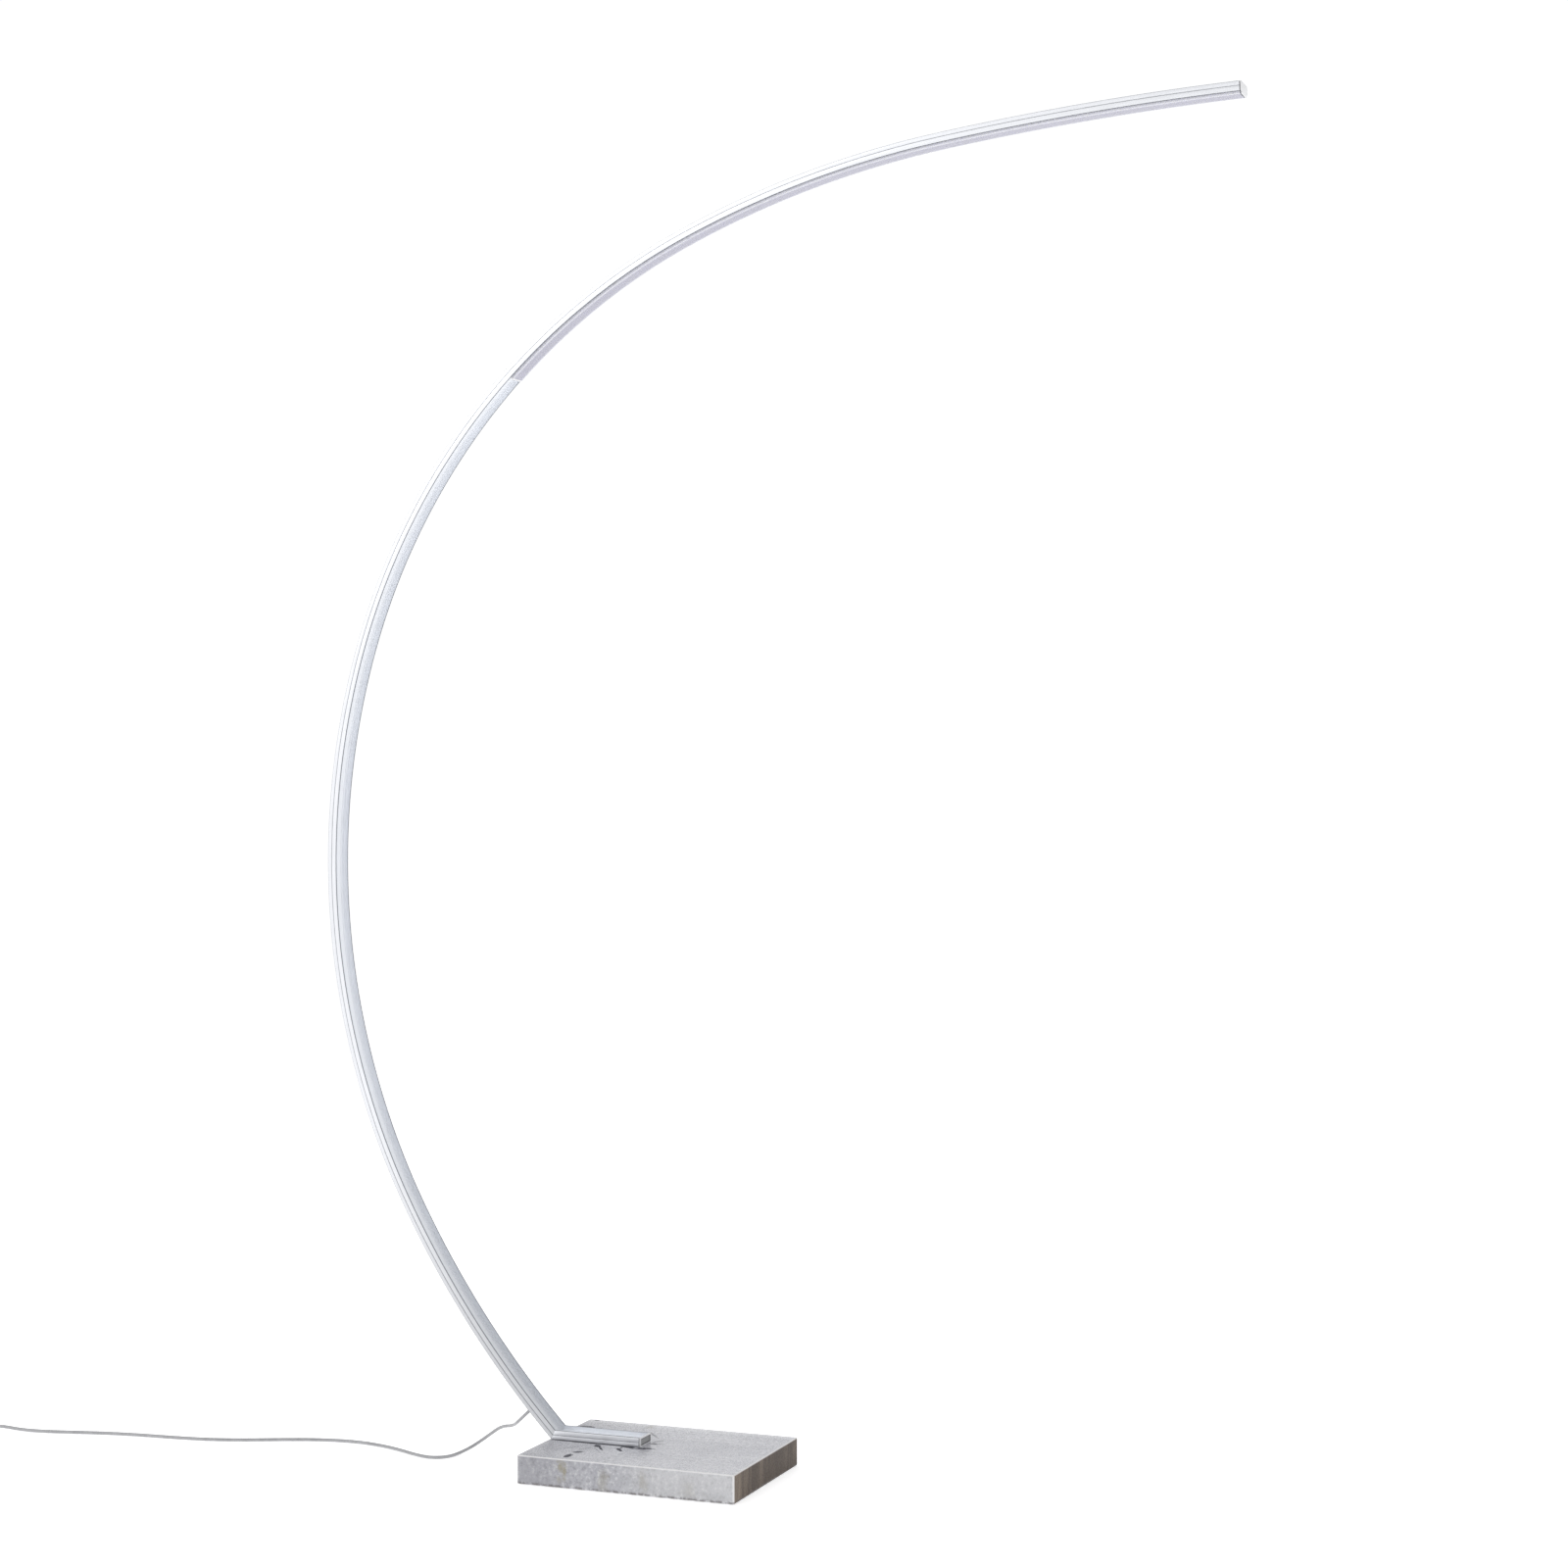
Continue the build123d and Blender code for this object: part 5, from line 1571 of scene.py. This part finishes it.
@dataclass
class FootSwitch:
    """The in-line foot switch: two halves of a rounded case, the button in its dished ring, and two reliefs."""

    centre: tuple[float, float] = (-1.1550, -0.1150)
    heading: float = 184.0
    half_length: float = 0.0320
    half_width: float = 0.0150
    corner: float = 0.0080
    split: float = 0.0090
    height: float = 0.0200
    wall: float = 0.0018
    button_hole: float = 0.01035
    button: float = 0.0100
    button_flange: float = 0.0118
    button_bottom: float = 0.0156
    button_top: float = 0.0232
    relief_length: float = 0.0130
    lead_height: float = 0.0070
    spring_foot: float = 0.0078
    travel: float = 0.0025

    def squeeze(self, spring: bpy.types.Object) -> None:
        """Give the spring its own copy of its mesh; its shape is not changed.

        Args:
            spring: the spring's shown mesh.
        """
        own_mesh(spring)

    def seat(self) -> Matrix:
        """The case's place on the floor, its length along X."""
        along = (cos(radians(self.heading)), sin(radians(self.heading)), 0.0)
        return seat_at((*self.centre, 0.0), along, (0.0, 0.0, 1.0))

    def _outline(self, inset: float) -> Array:
        """The case's outline, drawn in by a distance."""
        corner = max(self.corner - inset, 0.0004)
        return round_box_loop(self.half_length - inset, self.half_width - inset, corner)

    def lower(self) -> Piece:
        """The lower half: a tray with an eased foot and a stepped seam.

        Returns:
            The piece.
        """
        wall, seam = self.wall, self.split - 0.0001
        insets = [0.0016, 0.0004, 0.0, 0.0, 0.0004, wall, wall]
        heights = [0.0, 0.0006, 0.0018, self.split - 0.0006, seam, seam, wall]
        rings = stacked([self._outline(inset) for inset in insets], heights, self.seat())
        tray = skin("switch_tray", rings, sharp=40.0)
        return Piece(tray, Finish.SWITCH, "switch_white", ("switch_case_lower",))

    def upper(self) -> Piece:
        """The upper half: a dome-edged lid with a dished ring round the button's hole.

        Returns:
            The piece.
        """
        hole, top, roof = self.button_hole, self.height, self.height - self.wall
        outside = [(0.0004, self.split), (0.0, self.split + 0.0006)]
        outside += [(0.0, 0.0168), (0.0003, 0.0183), (0.0009, 0.0193), (0.0019, 0.0199)]
        dish = [(0.0034, top), (0.0028, top - 0.0001), (0.0012, top - 0.0007), (0.0004, top - 0.0006)]
        dish += [(0.0001, top - 0.0009), (0.0, roof)]
        inside = [(self.wall, roof), (self.wall, self.split)]
        loops = [self._outline(inset) for inset, _ in outside]
        loops += [circle_loop(hole + beyond) for beyond, _ in dish]
        loops += [self._outline(inset) for inset, _ in inside]
        heights = [height for _, height in (*outside, *dish, *inside)]
        lid = skin("switch_lid", stacked(loops, heights, self.seat()), ends=Ends.JOINED, sharp=40.0)
        return Piece(lid, Finish.SWITCH, "switch_white", ("switch_case_upper",))

    def press(self) -> Piece:
        """The button: a flange under the lid and a shallow dish on top.

        Returns:
            The piece.
        """
        side, flange, bottom, top = self.button, self.button_flange, self.button_bottom, self.button_top
        profile = [(0.0070, bottom), (flange, bottom), (flange, bottom + 0.0019)]
        profile += [(side, bottom + 0.0020), (side, top - 0.0010), (side - 0.0002, top - 0.0005)]
        profile += [(side - 0.0006, top - 0.0001), (side - 0.0012, top)]
        profile += [(0.0070, top - 0.0004), (0.0030, top - 0.0007), (0.0006, top - 0.0008)]
        made = turned("switch_press", profile, self.seat(), 12)
        return Piece(made, Finish.BUTTON, "button_white", ("switch_button",), "foot_button")

    def _relief(self, name: str, way: float, node: str) -> Piece:
        """One of the two reliefs, towards the lamp or away from it.

        Args:
            name: the piece's name.
            way: degrees from the switch's heading.
            node: the CAD node it stands for.

        Returns:
            The piece.
        """
        angle = radians(self.heading + way)
        out = (cos(angle), sin(angle), 0.0)
        x, y = (middle + self.half_length * part for middle, part in zip(self.centre, out))
        seat = seat_at((x, y, self.lead_height), (0.0, 0.0, 1.0), out)
        made = relief(name, seat, self.relief_length, RELIEF_ROOT, RELIEF_TIP, 4)
        return Piece(made, Finish.SHEATH, "cord_clear_white", (node,))

    def build(self) -> list[Piece]:
        """Every piece of the switch.

        Returns:
            The pieces.
        """
        return [
            self.lower(),
            self.upper(),
            self.press(),
            self._relief("switch_relief_near", 180.0, "switch_relief_in"),
            self._relief("switch_relief_far", 0.0, "switch_relief_out"),
        ]


@dataclass
class Supply:
    """The plug-in supply: a two-part case with a seam, its round pins and its relief."""

    centre: tuple[float, float] = (-1.2730, -0.0450)
    half_length: float = 0.0320
    half_width: float = 0.0200
    half_height: float = 0.0140
    corner: float = 0.0050
    front: float = 0.0140
    pin_radius: float = 0.0020
    pin_spacing: float = 0.0190
    pin_length: float = 0.0190
    relief_length: float = 0.0200

    def _seat(self, along: float) -> Matrix:
        """A place on the case's axis, a distance from its pin face; Z points to the relief."""
        origin = (self.centre[0], self.centre[1] - self.half_length + along, self.half_height)
        return seat_at(origin, (0.0, 0.0, 1.0), (0.0, 1.0, 0.0))

    def _loop(self, inset: float) -> Array:
        """The case's outline, drawn in by a distance."""
        corner = max(self.corner - inset, 0.0005)
        return round_box_loop(self.half_height - inset, self.half_width - inset, corner)

    def _case(self, name: str, shape: list[tuple[float, float]], along: float, node: str) -> Piece:
        """One part of the case.

        Args:
            name: the piece's name.
            shape: how far each ring is drawn in and how high above the seat it lies.
            along: the seat's distance from the pin face.
            node: the CAD node it stands for.

        Returns:
            The piece.
        """
        loops = [self._loop(inset) for inset, _ in shape]
        made = skin(name, stacked(loops, [height for _, height in shape], self._seat(along)), sharp=40.0)
        return Piece(made, Finish.SUPPLY, "adapter_white", (node,))

    def front_part(self) -> Piece:
        """The part with the pins: a stepped face with an eased rim.

        Returns:
            The piece.
        """
        seam = self.front - 0.0001
        shape = [(0.0052, 0.0006), (0.0044, 0.0006), (0.0042, 0.0001), (0.0016, 0.0001), (0.0005, 0.0006)]
        shape += [(0.0, 0.0016), (0.0, self.front - 0.0006), (0.0005, seam), (0.0020, seam)]
        return self._case("supply_front", shape, 0.0, "adapter_case_front")

    def rear_part(self) -> Piece:
        """The long part, with three shallow finger grooves round its far end.

        Returns:
            The piece.
        """
        length, groove = 2 * self.half_length - self.front, 0.0005
        shape = [(0.0020, 0.0001), (0.0005, 0.0001), (0.0, 0.0006)]
        for start in (length - 0.0180, length - 0.0140, length - 0.0100):
            shape += [(0.0, start), (groove, start + 0.0004), (groove, start + 0.0014), (0.0, start + 0.0018)]
        shape += [(0.0, length - 0.0030), (0.0004, length - 0.0012), (0.0014, length - 0.0003), (0.0030, length)]
        return self._case("supply_rear", shape, self.front, "adapter_case_rear")

    def pins(self) -> Piece:
        """Two round pins with domed tips.

        Returns:
            The piece.
        """
        r, end = self.pin_radius, self.pin_length
        profile = [(r, -0.0055), (r, 0.0010), (r, end - 0.0016)]
        profile += [(0.92 * r, end - 0.0008), (0.70 * r, end - 0.0002), (0.35 * r, end)]
        parts = []
        for side in (-1, 1):
            x = self.centre[0] + side * self.pin_spacing / 2
            seat = seat_at((x, self.centre[1] - self.half_length, self.half_height), (0.0, 0.0, 1.0), (0.0, -1.0, 0.0))
            parts.append(turned("pin", profile, seat, 7))
        return Piece(joined("supply_pins", parts), Finish.NICKEL, "brass", ("adapter_pins",))

    def build(self) -> list[Piece]:
        """Every piece of the supply that is replaced.

        Returns:
            The pieces.
        """
        seat = self._seat(2 * self.half_length)
        made = relief("supply_relief", seat, self.relief_length, RELIEF_ROOT, RELIEF_TIP, 6)
        return [
            self.front_part(),
            self.rear_part(),
            self.pins(),
            Piece(made, Finish.SHEATH, "cord_clear_white", ("adapter_relief",)),
        ]


@dataclass
class CoilTie:
    """The hook-and-loop band round the coil's turns."""

    centre: tuple[float, float] = (-1.1880, -0.0480)
    middle: float = 0.0290
    heading: float = 15.0
    half_across: float = 0.0061
    low: float = 0.0
    high: float = 0.0111
    half_width: float = 0.0050
    thickness: float = 0.0009

    def build(self) -> Piece:
        """A flat band carried round a rounded outline, with eased edges.

        Returns:
            The piece.
        """
        angle = radians(self.heading)
        out = (cos(angle), sin(angle), 0.0)
        x, y = (middle + self.middle * part for middle, part in zip(self.centre, out))
        seat = seat_at((x, y, (self.low + self.high) / 2), out, (-out[1], out[0], 0.0))
        half_up = (self.high - self.low) / 2
        outer = round_box_loop(self.half_across, half_up, 0.0024)
        inner = round_box_loop(self.half_across - self.thickness, half_up - self.thickness, 0.0016)
        edge = self.half_width - 0.0002
        rings = stacked([inner, outer, outer, inner], [-self.half_width, -edge, edge, self.half_width], seat)
        band = skin("coil_band", rings, ends=Ends.JOINED, sharp=45.0)
        return Piece(band, Finish.TIE, "tie_black", ("coil_tie",))


# ------------------------------------------------------------------ pieces that keep their CAD shape


class CadDress(Enum):
    """CAD nodes that are shown as they are, each with its finish."""

    marble_base = Finish.MARBLE
    base_pad = Finish.PAD
    base_washers = Finish.STEEL
    base_bolts = Finish.STEEL
    foot_nut_bar = Finish.STEEL
    corner_bracket = Finish.STEEL
    bracket_screws = Finish.STEEL
    led_chips = Finish.PHOSPHOR
    supply_wires = Finish.WIRE
    switch_spring = Finish.STEEL
    switch_module = Finish.MODULE
    switch_screws = Finish.STEEL
    adapter_board = Finish.BOARD
    adapter_transformer = Finish.MODULE


def dress_cad(nodes: dict[str, bpy.types.Object]) -> None:
    """Give each kept CAD node its finish.

    Args:
        nodes: the frame's nodes by name.
    """
    for name, member in CadDress.__members__.items():
        finish = member.value
        for holder in nodes[name].material_slots:
            holder.material = finish.get()
        LOG.info("%s keeps its shape: %s", name, finish.name.lower())


# ------------------------------------------------------------------ studio


@dataclass
class Studio:
    """A pale flat floor, soft lights and the camera."""

    camera_place: Point = (1.7025, -3.8947, 1.0300)
    camera_turn: float = 21.098
    lens: float = 65.39
    wall_top: float = 0.28
    roof_from: float = 0.62
    wall_light: float = 1.04
    roof_light: float = 0.46
    floor_half: float = 30.0
    lamps: tuple[tuple[str, Point, Point, float, float], ...] = (
        ("soft_left", (-2.6, -2.8, 3.2), (0.0, 0.0, 0.6), 2.4, 48.0),
        ("soft_top", (0.2, 0.8, 4.2), (0.0, 0.0, 0.0), 3.0, 34.0),
    )

    def camera(self) -> None:
        """The camera, level, with no shift."""
        data = bpy.data.cameras.new("camera")
        data.lens = self.lens
        data.sensor_width = 36.0
        data.clip_end = 60.0
        obj = linked("camera", data)
        obj.location = self.camera_place
        obj.rotation_euler = (pi / 2, 0.0, radians(self.camera_turn))
        bpy.context.scene.camera = obj

    def floor(self) -> None:
        """One large flat sheet under everything."""
        half = self.floor_half
        corners = [(-half, -half, 0.0), (half, -half, 0.0), (half, half, 0.0), (-half, half, 0.0)]
        mesh = bpy.data.meshes.new("studio_floor")
        mesh.from_pydata(corners, [], [(0, 1, 2, 3)])
        mesh.materials.append(Finish.STUDIO.get())
        obj = linked("studio_floor", mesh)

    def lamp(self, name: str, place: Point, aim: Point, size: float, power: float) -> None:
        """A large soft lamp.

        Args:
            name: its name.
            place: where it is.
            aim: what it points at.
            size: the side of its square.
            power: in watts.
        """
        data = bpy.data.lights.new(name, "AREA")
        data.size = size
        data.energy = power
        obj = linked(name, data)
        obj.location = place
        obj.rotation_euler = (Vector(aim) - Vector(place)).to_track_quat("-Z", "Y").to_euler()

    def light(self) -> None:
        """A pale surround that is dimmer overhead, and two broad soft lamps, to the front left and above."""
        world = bpy.data.worlds.new("surround")
        world.use_nodes = True
        tree = world.node_tree
        split = tree.nodes.new("ShaderNodeSeparateXYZ")
        tree.links.new(tree.nodes.new("ShaderNodeTexCoord").outputs["Generated"], split.inputs[0])
        fall = tree.nodes.new("ShaderNodeMapRange")
        fall.interpolation_type = "SMOOTHSTEP"
        for value, into in zip((self.wall_top, self.roof_from, self.wall_light, self.roof_light), fall.inputs[1:5]):
            into.default_value = value
        tree.links.new(split.outputs[2], fall.inputs[0])
        surround = tree.nodes["Background"]
        surround.inputs["Color"].default_value = (0.985, 0.99, 1.0, 1.0)
        tree.links.new(fall.outputs[0], surround.inputs["Strength"])
        bpy.context.scene.world = world
        for lamp in self.lamps:
            self.lamp(*lamp)
        settings = bpy.context.scene.view_settings
        settings.view_transform = "Standard"
        settings.look = "None"
        settings.exposure = 0.0
        settings.gamma = 1.0

    def build(self) -> None:
        """The whole studio."""
        self.floor()
        self.light()


# ------------------------------------------------------------------ the whole


def main() -> None:
    logging.basicConfig(level=logging.INFO, format="%(name)s: %(message)s")
    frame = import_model()
    studio = Studio()
    studio.camera()
    leads = Leads()
    near, far = leads.to_switch().build().settle(), leads.to_supply().build().settle()
    path, section = ArcPath(), BarSection()
    for piece in (*LightBar(path, section).build(), *Gland(path.seat(GLAND_ALONG, section.thickness)).build()):
        piece.settle()
    foot_switch = FootSwitch()
    switch = [piece.settle() for piece in foot_switch.build()]
    supply = [piece.settle() for piece in Supply().build()]
    band = CoilTie().build().settle()
    dress_cad(frame["nodes"])
    foot_switch.squeeze(frame["nodes"]["switch_spring"])
    studio.build()


if __name__ == "__main__":
    main()
